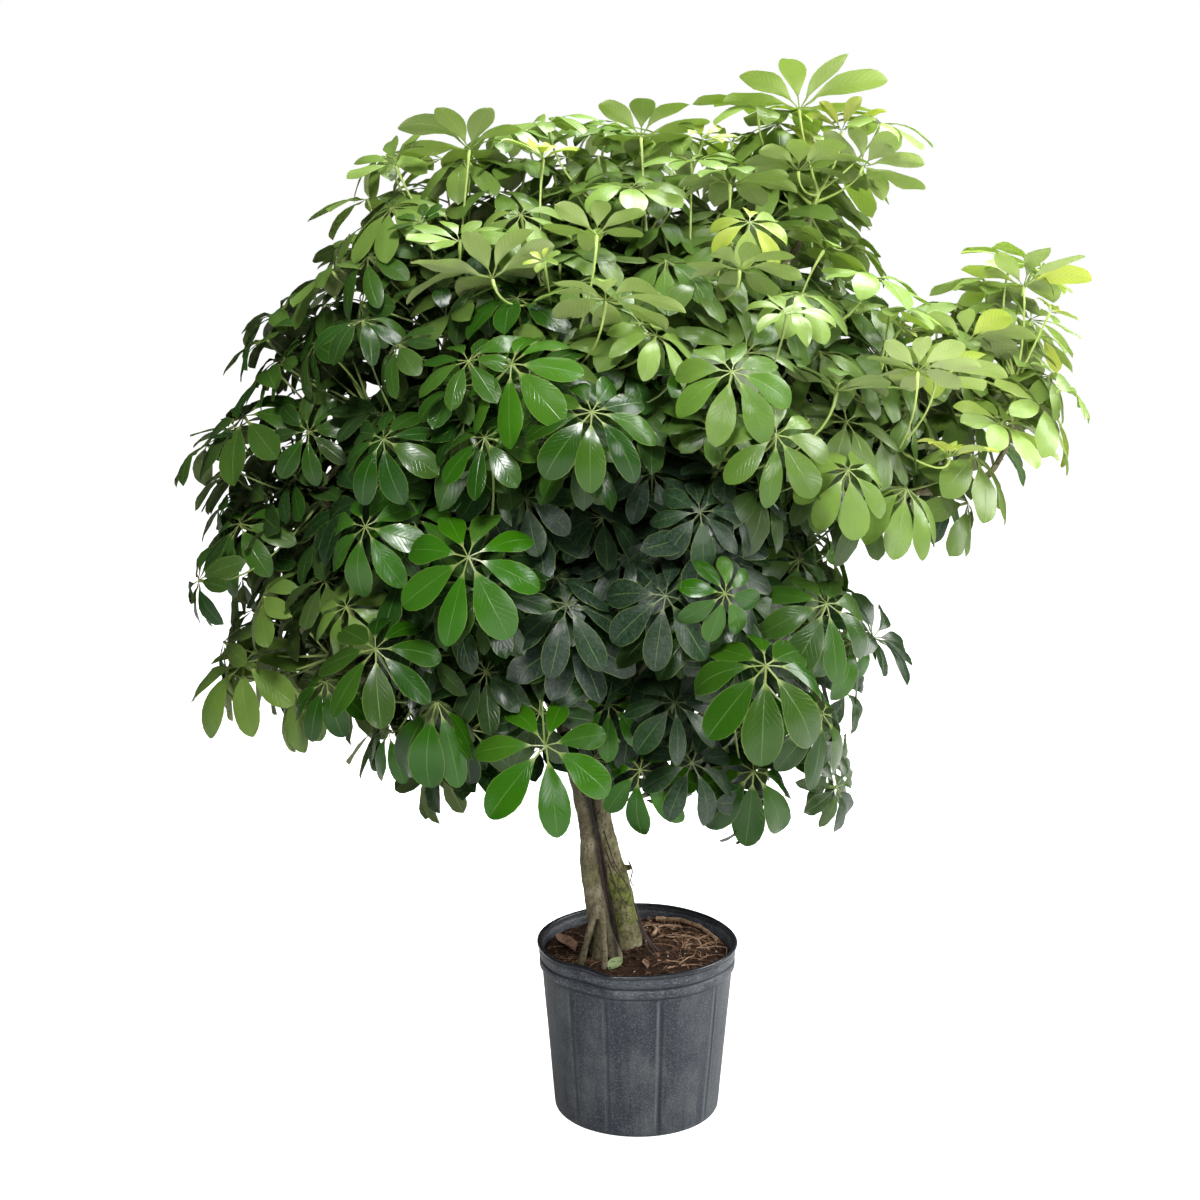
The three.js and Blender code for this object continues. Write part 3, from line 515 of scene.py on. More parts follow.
brown_root = root_material("brown_root", (0.085, 0.046, 0.025), (0.34, 0.225, 0.13))
COARSE_ROOTS = {
    "surface_root_edge": ([(30, 113, 226), (62, 106, 227), (93, 76, 227), (112, 32, 225.5)], 3.6),
    "surface_root_back": ([(22, 52, 225.5), (28, 76, 225.4), (16, 102, 224.6)], 2.8),
}
noise.seed_set(4)  # noise_vector would otherwise start from the clock, and wobble anew in each run
for node, (points, radius) in COARSE_ROOTS.items():
    path = smooth_path(np.array(points) / 1000, 40)
    wobble = np.array([noise.noise_vector(Vector(p) * 60) for p in path]) * 0.0012
    radii = [0.001 * radius * (1 - 0.35 * t) * (1 + 0.22 * noise.noise(Vector((9 * t, radius, 0))))
             for t in np.linspace(0, 1, len(path))]
    piece = strands_piece("brown_" + node, [strand(path + wobble, radii, 12)], brown_root)
    finish_piece(piece, "root", node)


def rootlet(start, heading, length, radius, sides=5):
    """A thin root that wanders over the soil."""
    steps = max(5, int(length / 0.006))
    spot, path = np.array(start[:2]), []
    bend = rng.uniform(-0.35, 0.35)
    lift = rng.uniform(0.0004, 0.0040)
    for i in range(steps + 1):
        t = i / steps
        if math.hypot(*spot) > 0.1235:
            spot = spot * 0.1235 / math.hypot(*spot)
        path.append([*spot, soil_height(*spot) + radius * 0.6 + lift * math.sin(math.pi * t)])
        heading += bend + rng.uniform(-0.3, 0.3)
        spot = spot + np.array([math.cos(heading), math.sin(heading)]) * length / steps
    return strand(path, [radius * (1 - 0.6 * i / steps) for i in range(steps + 1)], sides)


mat = []
for i in range(84):
    angle = rng.normal(0.75, 0.75) if i % 3 else rng.uniform(0, 6.3)
    reach = math.sqrt(rng.uniform(0.2, 1)) * 0.117
    start = (reach * math.cos(angle), reach * math.sin(angle))
    heading = angle + math.pi / 2 + rng.normal(0, 0.7)
    mat.append(rootlet(start, heading, rng.uniform(0.014, 0.062), rng.uniform(0.0003, 0.0009)))
coarse = []
for i in range(13):
    angle = rng.uniform(-1.2, 1.6)
    reach = rng.uniform(0.050, 0.114)
    start = (reach * math.cos(angle), reach * math.sin(angle))
    coarse.append(rootlet(start, angle + math.pi / 2 + rng.normal(0, 0.45), rng.uniform(0.05, 0.11),
                          rng.uniform(0.0009, 0.0018), 7))
for i in range(46):
    start = (-0.078 + rng.normal(0, 0.013), -0.036 + rng.normal(0, 0.012))
    mat.append(rootlet(start, rng.uniform(0, 6.3), rng.uniform(0.016, 0.045), rng.uniform(0.00025, 0.0005)))
piece = strands_piece("soil_rootlets", mat, root_material("dry_rootlet", (0.055, 0.024, 0.013),
                                                         (0.30, 0.175, 0.095)))
finish_piece(piece, "root")
piece = strands_piece("soil_coarse_rootlets", coarse, root_material("tan_rootlet", (0.085, 0.042, 0.025),
                                                                   (0.30, 0.195, 0.115)))
finish_piece(piece, "root")

# ---- Fallen leaves and bark ----------------------------------------------------------------------
# A shed green leaflet, a dry brown one that has curled, and a flake of bark lie on the soil.

LITTER = {  # its middle, length and width in mm, its turn, how far its sides curl up, and its slope
    "fallen_leaf_green": ((-31, -57), 33, 18, 58, 1.6, 0.20),
    "fallen_leaf_dry": ((-97, 17), 55, 25, 118, 6.5, 0.1),
    "bark_flake": ((11, -60), 30, 10, 97, 4.2, 0),
}


def litter_blade(name, middle, length, width, turn, curl, slope):
    bpy.ops.mesh.primitive_grid_add(x_subdivisions=14, y_subdivisions=6, size=1, location=(0, 0, 0))
    piece = bpy.context.object
    piece.name = name
    for vertex in piece.data.vertices:
        along, across = vertex.co.x * 2, vertex.co.y * 2
        half = max(0, 1 - abs(along) ** 2.2) ** 0.75 * 0.5 * width
        x, y = along * length / 2, across * half
        crease = 0.12 * curl * math.sin(5 * along + turn) * abs(across) + slope * (x + y)
        vertex.co = (x, y, curl * abs(across) ** 1.7 * (1 - 0.3 * along) + crease)
        vertex.co *= 0.001
    edit_all()
    bpy.ops.mesh.remove_doubles(threshold=0.00002)
    bpy.ops.object.mode_set(mode="OBJECT")
    solidify = piece.modifiers.new("thickness", "SOLIDIFY")
    solidify.thickness, solidify.offset = 0.0007, 1
    smooth = piece.modifiers.new("smooth", "SUBSURF")
    smooth.levels = smooth.render_levels = 1
    apply_modifiers(piece)
    c, s = math.cos(math.radians(turn)), math.sin(math.radians(turn))
    for vertex in piece.data.vertices:
        x, y, z = vertex.co
        vertex.co = (middle[0] / 1000 + c * x - s * y, middle[1] / 1000 + s * x + c * y, z)
    lowest = min(v.co.z - soil_height(v.co.x, v.co.y) for v in piece.data.vertices)
    for vertex in piece.data.vertices:
        vertex.co.z -= lowest - 0.0001
    return piece


def litter_material(name, dark, light, roughness):
    made, add = material(name, roughness)
    place = object_place(add)
    shade = noise_node(add, place, 110, 5, 0.6)
    paint(add, ramp(add, shade, (0.35, dark), (0.65, light)))
    bump_node(add, noise_node(add, place, 420, 3), 0.5, 0.0006)
    return made


for node, shape in LITTER.items():
    piece = litter_blade("lying_" + node, *shape)
    green = node.endswith("green")
    if green:
        look = litter_material("shed_leaf", (0.10, 0.145, 0.055), (0.21, 0.265, 0.125), 0.6)
    else:
        look = litter_material("dry_" + node, (0.085, 0.040, 0.024), (0.33, 0.205, 0.135), 0.75)
    piece.data.materials.append(look)
    finish_piece(piece, "green_leaf" if green else "dry_leaf", node)

# ---- Trunks and limbs ----------------------------------------------------------------------------
# Two woody stems lean side by side and grow out into limbs. The left one is smooth grey-beige bark
# with dark pores and stands on looped aerial roots, and the right one is thicker and green with moss.

LEFT_WOOD = {  # each stem's points, its radius at the two ends and its swelling at the soil, in mm
    "trunk_left": ([(-40, -15, 150), (-46, -15, 225), (-57, -16, 290), (-66, -17, 354), (-68, -18, 403),
                    (-88, -24, 500), (-122, -34, 600), (-200, -48, 668), (-300, -58, 735),
                    (-385, -60, 835), (-425, -60, 915)], 17, 5, 4),
    "limb_front_left": ([(-122, -34, 600), (-150, -130, 690), (-186, -210, 800), (-172, -236, 920)],
                        9, 4.5, 0),
    "limb_low_left": ([(-205, -48, 670), (-290, -96, 640), (-390, -92, 630)], 7, 4, 0),
    "aerial_root_a": ([(-54, -22, 306), (-60, -43, 286), (-70, -50, 252), (-80, -45, 210)], 5.2, 5.0, 0),
    "aerial_root_b": ([(-50, -24, 302), (-47, -47, 280), (-45, -60, 250), (-45, -63, 210)], 5.0, 4.6, 0),
    "aerial_root_c": ([(-52, -16, 318), (-44, -20, 268), (-33, -26, 232), (-27, -30, 205)], 5.0, 13.0, 0),
}
RIGHT_WOOD = {
    "trunk_right": ([(-10, 22, 150), (-14, 20, 225), (-26, 17, 300), (-38, 14, 349), (-49, 11, 406),
                     (-62, 6, 500), (-71, 4, 580), (-92, 8, 660), (-80, 12, 770), (-52, 16, 890),
                     (-28, 20, 1010), (-14, 24, 1120)], 25, 5, 1),
    "limb_right": ([(-85, 10, 690), (-20, -14, 745), (50, -36, 785), (144, -60, 816), (260, -60, 863),
                    (389, -42, 872), (449, -30, 886), (490, -16, 950)], 12, 4, 0),
    "limb_upper_right": ([(-56, 15, 870), (30, 10, 970), (120, 5, 1070), (190, 0, 1160), (216, -4, 1215)],
                         9, 4, 0),
    "limb_upper_left": ([(-74, 12, 790), (-140, 0, 920), (-200, -14, 1050), (-238, -24, 1150)], 9, 4, 0),
    "limb_front": ([(-60, 5, 540), (-14, -90, 610), (20, -170, 710), (36, -215, 820)], 9, 4.5, 0),
    "limb_front_top": ([(-50, 16, 900), (-52, -90, 975), (-46, -175, 1040)], 7, 4, 0),
    "limb_low_right": ([(-52, 7, 480), (20, -50, 535), (90, -96, 590), (150, -120, 640)], 8, 4, 0),
    "limb_back_low": ([(-70, 4, 590), (-56, 110, 625), (-20, 210, 680)], 9, 4.5, 0),
    "limb_back_left": ([(-92, 9, 680), (-150, 110, 760), (-230, 200, 840)], 9, 4.5, 0),
    "limb_back_right": ([(-62, 14, 850), (30, 110, 880), (150, 200, 920)], 8, 4, 0),
    "limb_back_top": ([(-32, 19, 990), (-34, 110, 1050), (0, 190, 1110)], 7, 4, 0),
    "stub": ([(-26, 10, 338), (-12, 2, 343), (-8, 0, 340)], 5.5, 4, 0),
}


def grown_wood(name, stems, voxel):
    """Round stems along smooth paths, fused into one skin, smoothed, with the lumps of bark on it."""
    made = []
    for points, thick, thin, flare in stems.values():
        length = sum(np.linalg.norm(np.diff(np.array(points), axis=0), axis=1)) / 1000
        path = smooth_path(np.array(points) / 1000, max(6, int(length / 0.011)))
        bpy.ops.curve.primitive_bezier_curve_add(location=(0, 0, 0))
        curve = bpy.context.object
        spline = curve.data.splines.new("POLY")
        curve.data.splines.remove(curve.data.splines[0])
        spline.points.add(len(path) - 1)
        for i, spot in enumerate(path):
            t = i / (len(path) - 1)
            swelling = flare * math.exp(-(((spot[2] - SOIL_TOP) * 1000 / 34) ** 2))
            knots = 1 + 0.07 * noise.noise(Vector(spot) * 34)
            spline.points[i].co = (*spot, 1)
            spline.points[i].radius = (thick + (thin - thick) * t ** 0.8) * knots + swelling
        curve.data.dimensions = "3D"
        curve.data.bevel_depth = 0.001
        curve.data.bevel_resolution = 5
        curve.data.use_fill_caps = True
        bpy.ops.object.convert(target="MESH")
        made.append(bpy.context.object)
    bpy.ops.object.select_all(action="DESELECT")
    for stem in made:
        stem.select_set(True)
    bpy.context.view_layer.objects.active = made[0]
    bpy.ops.object.join()
    wood = bpy.context.object
    wood.name = name
    fused = wood.modifiers.new("fused", "REMESH")
    fused.mode, fused.voxel_size = "VOXEL", voxel
    eased = wood.modifiers.new("eased", "SMOOTH")
    eased.factor, eased.iterations = 0.5, 5
    lumps = bpy.data.textures.new(name + "_lumps", "CLOUDS")
    lumps.noise_scale, lumps.noise_depth = 0.018, 3
    barked = wood.modifiers.new("barked", "DISPLACE")
    barked.texture, barked.strength, barked.mid_level, barked.texture_coords = lumps, 0.0034, 0.5, "LOCAL"
    apply_modifiers(wood)
    return wood


def bark_material(name, moss):
    """Grey bark with pores, dashes and moss, and painted shade where the two trunks close in on each other.
    """
    made, add = material(name, 0.8, Specular_IOR_Level=0.2)
    place = object_place(add)
    along = object_place(add, (1, 1, 0.45))
    broad = noise_node(add, place, 30, 5, 0.6)
    fine = noise_node(add, along, 210, 5, 0.65)
    cells = add("ShaderNodeTexVoronoi", ("Vector", object_place(add, (1, 1, 1.5))), Scale=150.0)
    pores = cells.outputs["Distance"]
    dashes = noise_node(add, object_place(add, (1, 1, 0.22)), 130, 4, 0.7)
    deeper = 1 if moss else 0.68
    stops = ((0.3, (0.10, 0.086, 0.050)), (0.5, (0.22, 0.195, 0.118)), (0.72, (0.38, 0.345, 0.235)))
    grey = ramp(add, broad, *[(at, tuple(deeper * c for c in tone)) for at, tone in stops])
    patchy = noise_node(add, place, 24 if moss else 17, 6, 0.68)
    green = blend_colours(add, ramp(add, fine, (0.35, 0), (0.65, 1)), (0.022, 0.032, 0.005),
                          (0.165, 0.190, 0.040))
    covered = ramp(add, patchy, *(((0.40, 0), (0.54, 0.95)) if moss else ((0.50, 0), (0.68, 0.5))))
    where = add("ShaderNodeSeparateXYZ", ("Vector", place))
    damp = ramp(add, times(add, where.outputs["Z"], 2), (0.455, 0.15), (0.53, 1), (0.67, 1),
                (0.80, 0.30))
    black = noise_node(add, place, 46, 5, 0.75)
    # Painted shade: near black along the crevice line between the two trunks, its edge made uneven by noise.
    leaning = plus(add, where.outputs["X"], times(add, where.outputs["Z"], CREVICE_LEAN))
    aside = math_node(add, "ABSOLUTE", math_node(add, "SUBTRACT", leaning, CREVICE_AT))
    uneven = plus(add, aside, times(add, black, 0.012))
    crevice_shade = ramp(add, times(add, uneven, 20), (0.15, 0.92), (0.26, 0))
    paint(add, coats(
        add, grey,
        (ramp(add, fine, (0.38, 0.65), (0.60, 0)), (0.085, 0.062, 0.036)),
        (times(add, covered, damp), green),
        (ramp(add, black, (0.56, 0), (0.66, 0.85 if moss else 0.4)), (0.014, 0.012, 0.007)),
        (ramp(add, dashes, (0.60, 0), (0.68, 0.75)), (0.035, 0.020, 0.012)),
        (ramp(add, pores, (0.14, 0.9), (0.24, 0)), (0.032, 0.022, 0.013)),
        (crevice_shade, (0.010, 0.008, 0.006))))
    bump_node(add, blend_colours(add, 0.5, fine, pores), 0.9, 0.0016)
    return made


CREVICE_LEAN, CREVICE_AT = 0.170, 0.0115  # its line in the front view: x + lean * z, in metres
left_wood = grown_wood("grown_wood_left", LEFT_WOOD, 0.0018)
left_wood.data.materials.append(bark_material("grey_bark", moss=False))
finish_piece(left_wood, "bark", "trunk_left", "limb_front_left", "limb_low_left", angle=1.2)
right_wood = grown_wood("grown_wood_right", RIGHT_WOOD, 0.0024)
right_wood.data.materials.append(bark_material("mossy_bark", moss=True))
finish_piece(right_wood, "bark", "trunk_right", *[n for n in RIGHT_WOOD if n.startswith("limb_")], angle=1.2)

# Thin dark air roots have grown down the crevice between the two trunks, and some cross the right one.
# Two thick ones twist down within it. Each has grown out of the bark and into the soil. Their brown is
# darkened to near black: painted shade of the crevice.

def on_bark(wood, x, z, out=0.0006):
    """The place on a trunk's front at x and z, in metres, a little out from the bark."""
    hit, spot, _, _ = wood.ray_cast(Vector((x, -0.3, z)), Vector((0, 1, 0)))
    return (x, (spot.y if hit else 0.0) - out, z)


bpy.context.view_layer.update()
air_roots = []
for i in range(6):
    high, low = rng.uniform(0.330, 0.500), rng.uniform(0.226, 0.262)
    aside = rng.uniform(-0.0030, 0.0045)
    points = [on_bark(right_wood, CREVICE_AT - CREVICE_LEAN * z + aside + rng.uniform(-0.0022, 0.0022), z)
              for z in np.linspace(high, low, 7)]
    path = smooth_path(points, 30)
    radius = rng.uniform(0.0005, 0.0009)
    air_roots.append(strand(path, [radius] * len(path), 6))
for line in (((-44, 372), (-36, 350), (-27, 336), (-17, 322), (-9, 306)),
             ((-46, 398), (-38, 372), (-30, 348), (-20, 330), (-14, 316)),
             ((-40, 350), (-33, 328), (-24, 306), (-13, 290), (-4, 284)),
             ((-38, 330), (-30, 318), (-20, 312), (-8, 300))):
    path = smooth_path([on_bark(right_wood, x / 1000, z / 1000, 0.0009) for x, z in line], 24)
    air_roots.append(strand(path, [0.00095 * (1 - 0.5 * i / 24) for i in range(25)], 6))
for aside, radius in ((1.6, 0.0040), (-1.8, 0.0032)):
    points = [(-33, 0, 224), (-43.5, -1.9, 290), (-54.3, -4.1, 354), (-60.4, -6.5, 403), (-69, -9, 450),
              (-77, -11.5, 500)]
    swung = [(x + aside * math.cos(0.05 * z), y + aside * math.sin(0.05 * z), z) for x, y, z in points]
    path = smooth_path(np.array(swung) / 1000, 60)
    air_roots.append(strand(path, [radius * (1 + 0.25 * noise.noise(Vector(p) * 70)) for p in path], 10))
for points, radius in (([(-12, 2, 352), (-7, -2, 340), (-9, -4, 326), (-5, -4, 318)], 0.0011),
                       ([(-3, -2, 292), (3, -5, 270), (12, -9, 246), (27, -17, 223)], 0.0017),
                       ([(0, -6, 270), (8, -12, 250), (17, -20, 230), (36, -27, 222)], 0.0012),
                       ([(4, 0, 262), (14, -2, 243), (30, -4, 223)], 0.0018)):
    path = smooth_path(np.array(points) / 1000, 22)
    air_roots.append(strand(path, [radius * (1 - 0.3 * i / 22) for i in range(23)], 7))
# The roots' brown is darkened to near black: painted shade of the crevice in their colour.
piece = strands_piece("air_roots", air_roots, root_material("air_root_with_painted_shade", (0.014, 0.008, 0.006),
                                                            (0.048, 0.028, 0.019)))
finish_piece(piece, "root")

# ---- Leaves --------------------------------------------------------------------------------------
# A leaf is a ring of six to nine leathery leaflets, each on a thin yellow-green stalk, about the end
# of a long leaf stalk. The tops are glossy, the undersides pale and matt, and old inner leaves dusty.
# Their colour also holds painted light: painted backlight makes them paler at the crown's top and right,
# and painted shade makes them darker inside it.

STALK_SHARE = 0.17  # of a leaflet's reach
OUTLINE = [(0.0, 0.05), (0.10, 0.26), (0.24, 0.58), (0.40, 0.86), (0.56, 1.0), (0.70, 0.98), (0.83, 0.82),
           (0.92, 0.58), (0.975, 0.31), (1.0, 0.05)]


def leaflet_master(name, half_width, rows, columns):
    """A leaflet 1 m long, from its ring's middle along +Y: a grid drawn to outline, with an underside."""
    bpy.ops.mesh.primitive_grid_add(x_subdivisions=columns, y_subdivisions=len(rows) - 1, size=1,
                                    calc_uvs=True, location=(0, 0, 0))
    blade = bpy.context.object
    blade.name = name
    per_row = columns + 1
    for vertex in blade.data.vertices:
        row, column = divmod(vertex.index, per_row)
        along, wide = rows[row]
        across = 2 * column / columns - 1
        vertex.co = (across * wide * half_width, along, 0)
    blade.data.materials.append(leaf_top)
    blade.data.materials.append(leaf_under)
    edit_all()
    bpy.ops.mesh.duplicate()
    bpy.ops.mesh.flip_normals()
    blade.active_material_index = 1
    bpy.ops.object.material_slot_assign()
    bpy.ops.object.mode_set(mode="OBJECT")
    half = len(blade.data.vertices) // 2
    for vertex in blade.data.vertices[half:]:
        row, column = divmod(vertex.index - half, per_row)
        inner = 0 < column < columns and 0 < row < len(rows) - 1
        along = rows[row][0]
        thick = 0.019 if along < STALK_SHARE + 0.02 else 0.007
        thick *= 1.6 if column == columns // 2 else 1
        vertex.co.z -= thick if inner else 0
    edit_all()
    bpy.ops.mesh.remove_doubles(threshold=0.0005)
    bpy.ops.object.mode_set(mode="OBJECT")
    return arrays_of(blade)


def leaf_material(name, under):
    """The leaf's skin, from its own UV map and from tone: how pale (youth, and painted backlight), how
    much dust and painted shade, and a share of chance (held darker for filling leaves, as painted shade).
    """
    made, add = material(name, None)
    tree = add.tree
    uv = add("ShaderNodeUVMap", uv_map="UVMap")
    split = add("ShaderNodeSeparateXYZ", ("Vector", uv.outputs["UV"]))
    tone = add("ShaderNodeAttribute", attribute_name="tone")
    tones = add("ShaderNodeSeparateColor", ("Color", tone.outputs["Color"]))
    pale, dust_and_shade, chance_and_height_shade = (tones.outputs[i] for i in range(3))
    place = object_place(add)
    from_rib = math_node(add, "ABSOLUTE", math_node(add, "SUBTRACT", split.outputs["X"], 0.5))
    rib = ramp(add, from_rib, (0.006, 1), (0.024, 0))
    slant = math_node(add, "SUBTRACT", split.outputs["Y"], times(add, from_rib, 0.42))
    slanted = add("ShaderNodeCombineXYZ", ("X", slant)).outputs["Vector"]
    veins = add("ShaderNodeTexWave", ("Vector", slanted), Scale=4.6, Distortion=0.0)
    vein = ramp(add, veins.outputs["Fac"], (0.86, 0), (1.0, 1))
    blotches = noise_node(add, place, 34, 4, 0.6)
    if under:
        specks = noise_node(add, place, 620, 4, 0.7)
        rough = 0.62
        # The paleness lightens the underside for young leaves and as painted backlight at the crown's top and
        # right; the dust tone darkens it, partly as painted shade inside the crown.
        colour = coats(
            add, blend_colours(add, chance_and_height_shade, (0.140, 0.205, 0.055), (0.225, 0.300, 0.095)),
            (pale, (0.62, 0.70, 0.33)),
            (ramp(add, pale, (0.93, 0), (1.0, 1)), (0.72, 0.74, 0.16)),
            (dust_and_shade, (0.050, 0.080, 0.040)),
            (times(add, rib, 0.7), (0.56, 0.62, 0.30)),
            (times(add, vein, 0.26), (0.10, 0.17, 0.04)),
            (ramp(add, specks, (0.70, 0), (0.76, 0.7)), (0.10, 0.075, 0.03)),
            (times(add, blotches, 0.18), (0.14, 0.21, 0.05)))
    else:
        edge = ramp(add, from_rib, (0.470, 0), (0.492, 1))
        meal = noise_node(add, place, 260, 5, 0.72)
        film = times(add, dust_and_shade, ramp(add, meal, (0.44, 0.02), (0.68, 0.52)))
        rough = plus(add, times(add, plus(add, dust_and_shade, pale), 0.17),
                     plus(add, times(add, blotches, 0.24), 0.09))
        # Painted light on the top: the paleness is youth and painted backlight at the crown's top and right,
        # and the near-black dull coat of the dust tone is painted shade inside the crown, under a film of
        # real dust.
        colour = coats(
            add, blend_colours(add, chance_and_height_shade, (0.005, 0.026, 0.0010), (0.053, 0.228, 0.0020)),
            (pale, (0.34, 0.48, 0.105)),
            (ramp(add, pale, (0.93, 0), (1.0, 0.65)), (0.56, 0.60, 0.07)),
            (times(add, blotches, 0.45), (0.010, 0.060, 0.003)),
            (times(add, vein, 0.12), (0.07, 0.17, 0.015)),
            (times(add, dust_and_shade, 0.92), (0.0055, 0.0180, 0.0085)),
            (film, (0.100, 0.145, 0.110)),
            (times(add, rib, 0.42), (0.19, 0.33, 0.08)),
            (times(add, edge, 0.55), (0.24, 0.36, 0.07)))
    stalked = ramp(add, split.outputs["Y"], (0.12, 1), (0.20, 0))
    # Leaflet stalks darken with the dust tone: dust, and painted shade inside the crown.
    green_stalk = blend_colours(add, dust_and_shade, (0.30, 0.38, 0.11), (0.13, 0.17, 0.07))
    colour = blend_colours(add, stalked, colour, green_stalk)
    paint(add, colour)
    if isinstance(rough, float):
        add.shader.inputs["Roughness"].default_value = rough
    else:
        tree.links.new(rough, add.shader.inputs["Roughness"])
    relief = plus(add, times(add, vein, 0.35),
                  plus(add, times(add, rib, 0.9), times(add, blotches, 0.8)))
    bump_node(add, relief, 0.35, 0.0012 if under else -0.0010)
    glow = add("ShaderNodeBsdfTranslucent")
    tree.links.new(blend_colours(add, 0.5, colour, blend_colours(add, pale, (0.04, 0.14, 0.004),
                                                                 (0.62, 0.78, 0.10))), glow.inputs["Color"])
    mixed = add("ShaderNodeMixShader", Fac=0.38)
    tree.links.new(add.shader.outputs["BSDF"], mixed.inputs[1])
    tree.links.new(glow.outputs["BSDF"], mixed.inputs[2])
    tree.links.new(mixed.outputs["Shader"], tree.nodes["Material Output"].inputs["Surface"])
    return made


leaf_top = leaf_material("leaf_top", under=False)
leaf_under = leaf_material("leaf_underside", under=True)


def rows_of(outline):
    blade_rows = [(STALK_SHARE + (1 - STALK_SHARE) * t, w) for t, w in outline]
    return [(0.015, 0.05), *blade_rows]


broad_blade = leaflet_master("broad", 0.205, rows_of(OUTLINE), 4)
slim_blade = leaflet_master("slim", 0.170, rows_of(OUTLINE), 4)
plain_rows = rows_of([OUTLINE[i] for i in (0, 1, 2, 3, 4, 6, 7, 9)])
inner_blade = leaflet_master("inner", 0.188, plain_rows, 4)

stalk_skin, add = material("leaf_stalk", 0.45)
stalk_tone = add("ShaderNodeAttribute", attribute_name="tone")
stalk_tones = add("ShaderNodeSeparateColor", ("Color", stalk_tone.outputs["Color"]))
place = object_place(add)
# The stalks are paler for young leaves and as painted backlight at the crown's top and right, and dimmer with
# dust and painted shade inside the crown; the third share of tone makes the stem woody.
youth_and_backlight_green = blend_colours(add, stalk_tones.outputs[0], (0.16, 0.235, 0.055), (0.38, 0.48, 0.12))
dust_and_shade_dimmed = blend_colours(add, stalk_tones.outputs[1], youth_and_backlight_green, (0.085, 0.105, 0.040))
spots = noise_node(add, place, 420, 3)
spotted = blend_colours(add, ramp(add, spots, (0.60, 0), (0.70, 0.5)), dust_and_shade_dimmed, (0.20, 0.16, 0.06))
barky = blend_colours(add, noise_node(add, place, 150, 5, 0.7), (0.075, 0.060, 0.030), (0.27, 0.225, 0.12))
paint(add, blend_colours(add, stalk_tones.outputs[2], spotted, barky))
bump_node(add, noise_node(add, place, 300, 4), 0.4, 0.0006)

# How each shoot looks: how pale its leaves are, from youth and from painted backlight at the top and right of
# the crown, and how dusty, with painted shade in the same share darkening the inner and low shoots.
LOOKS = {
    "crown_left": (0.66, 0.0), "shoulder_left": (0.16, 0.30), "upper_centre_left": (0.74, 0.0),
    "crown_centre": (0.72, 0.0), "upper_centre": (0.74, 0.0), "crown_right": (0.84, 0.0),
    "upper_right": (0.58, 0.0), "shoulder_right": (0.72, 0.0), "front_right": (0.36, 0.0),
    "front_centre": (0.04, 0.0), "front_left": (0.02, 0.22), "edge_upper_left": (0.16, 0.20),
    "edge_left": (0.12, 0.22), "edge_low_left": (0.50, 0.10), "low_left": (0.0, 0.10),
    "centre_left": (0.0, 0.14), "inner_centre": (0.0, 0.95), "inner_left": (0.0, 0.9),
    "low_centre": (0.0, 0.0), "low_middle": (0.0, 0.8), "low_right": (0.04, 0.02),
    "edge_low_right": (0.14, 0.20), "branch_low": (0.66, 0.0), "branch_middle": (0.88, 0.0),
    "branch_end": (0.88, 0.0), "branch_upper": (0.88, 0.0),
}
HEART = np.array([-0.030, 0.010, 0.860])
SHADED_LEAF = np.array([0.090, -0.330, 0.775])  # a low one on the right, before the crown's heart, darkened with dust and painted shade
STEM_STEPS = 24
STALK_SKIN = 2  # its number among a leafy shoot's materials, after the leaf's top and underside
draw = np.random.default_rng(5)


def unit(vector):
    return vector / np.linalg.norm(vector)


def merged_arrays(node):
    """A CAD node's corners and triangles, with its loose corners welded."""
    mesh = node.data
    corners = np.array([v.co for v in mesh.vertices])
    keys = np.round(corners * 1e6 / 4).astype(np.int64)
    _, first, welded = np.unique(keys, axis=0, return_index=True, return_inverse=True)
    welded = welded.reshape(-1)
    triangles = np.array([[welded[i] for i in p.vertices] for p in mesh.polygons])
    return corners[first], triangles


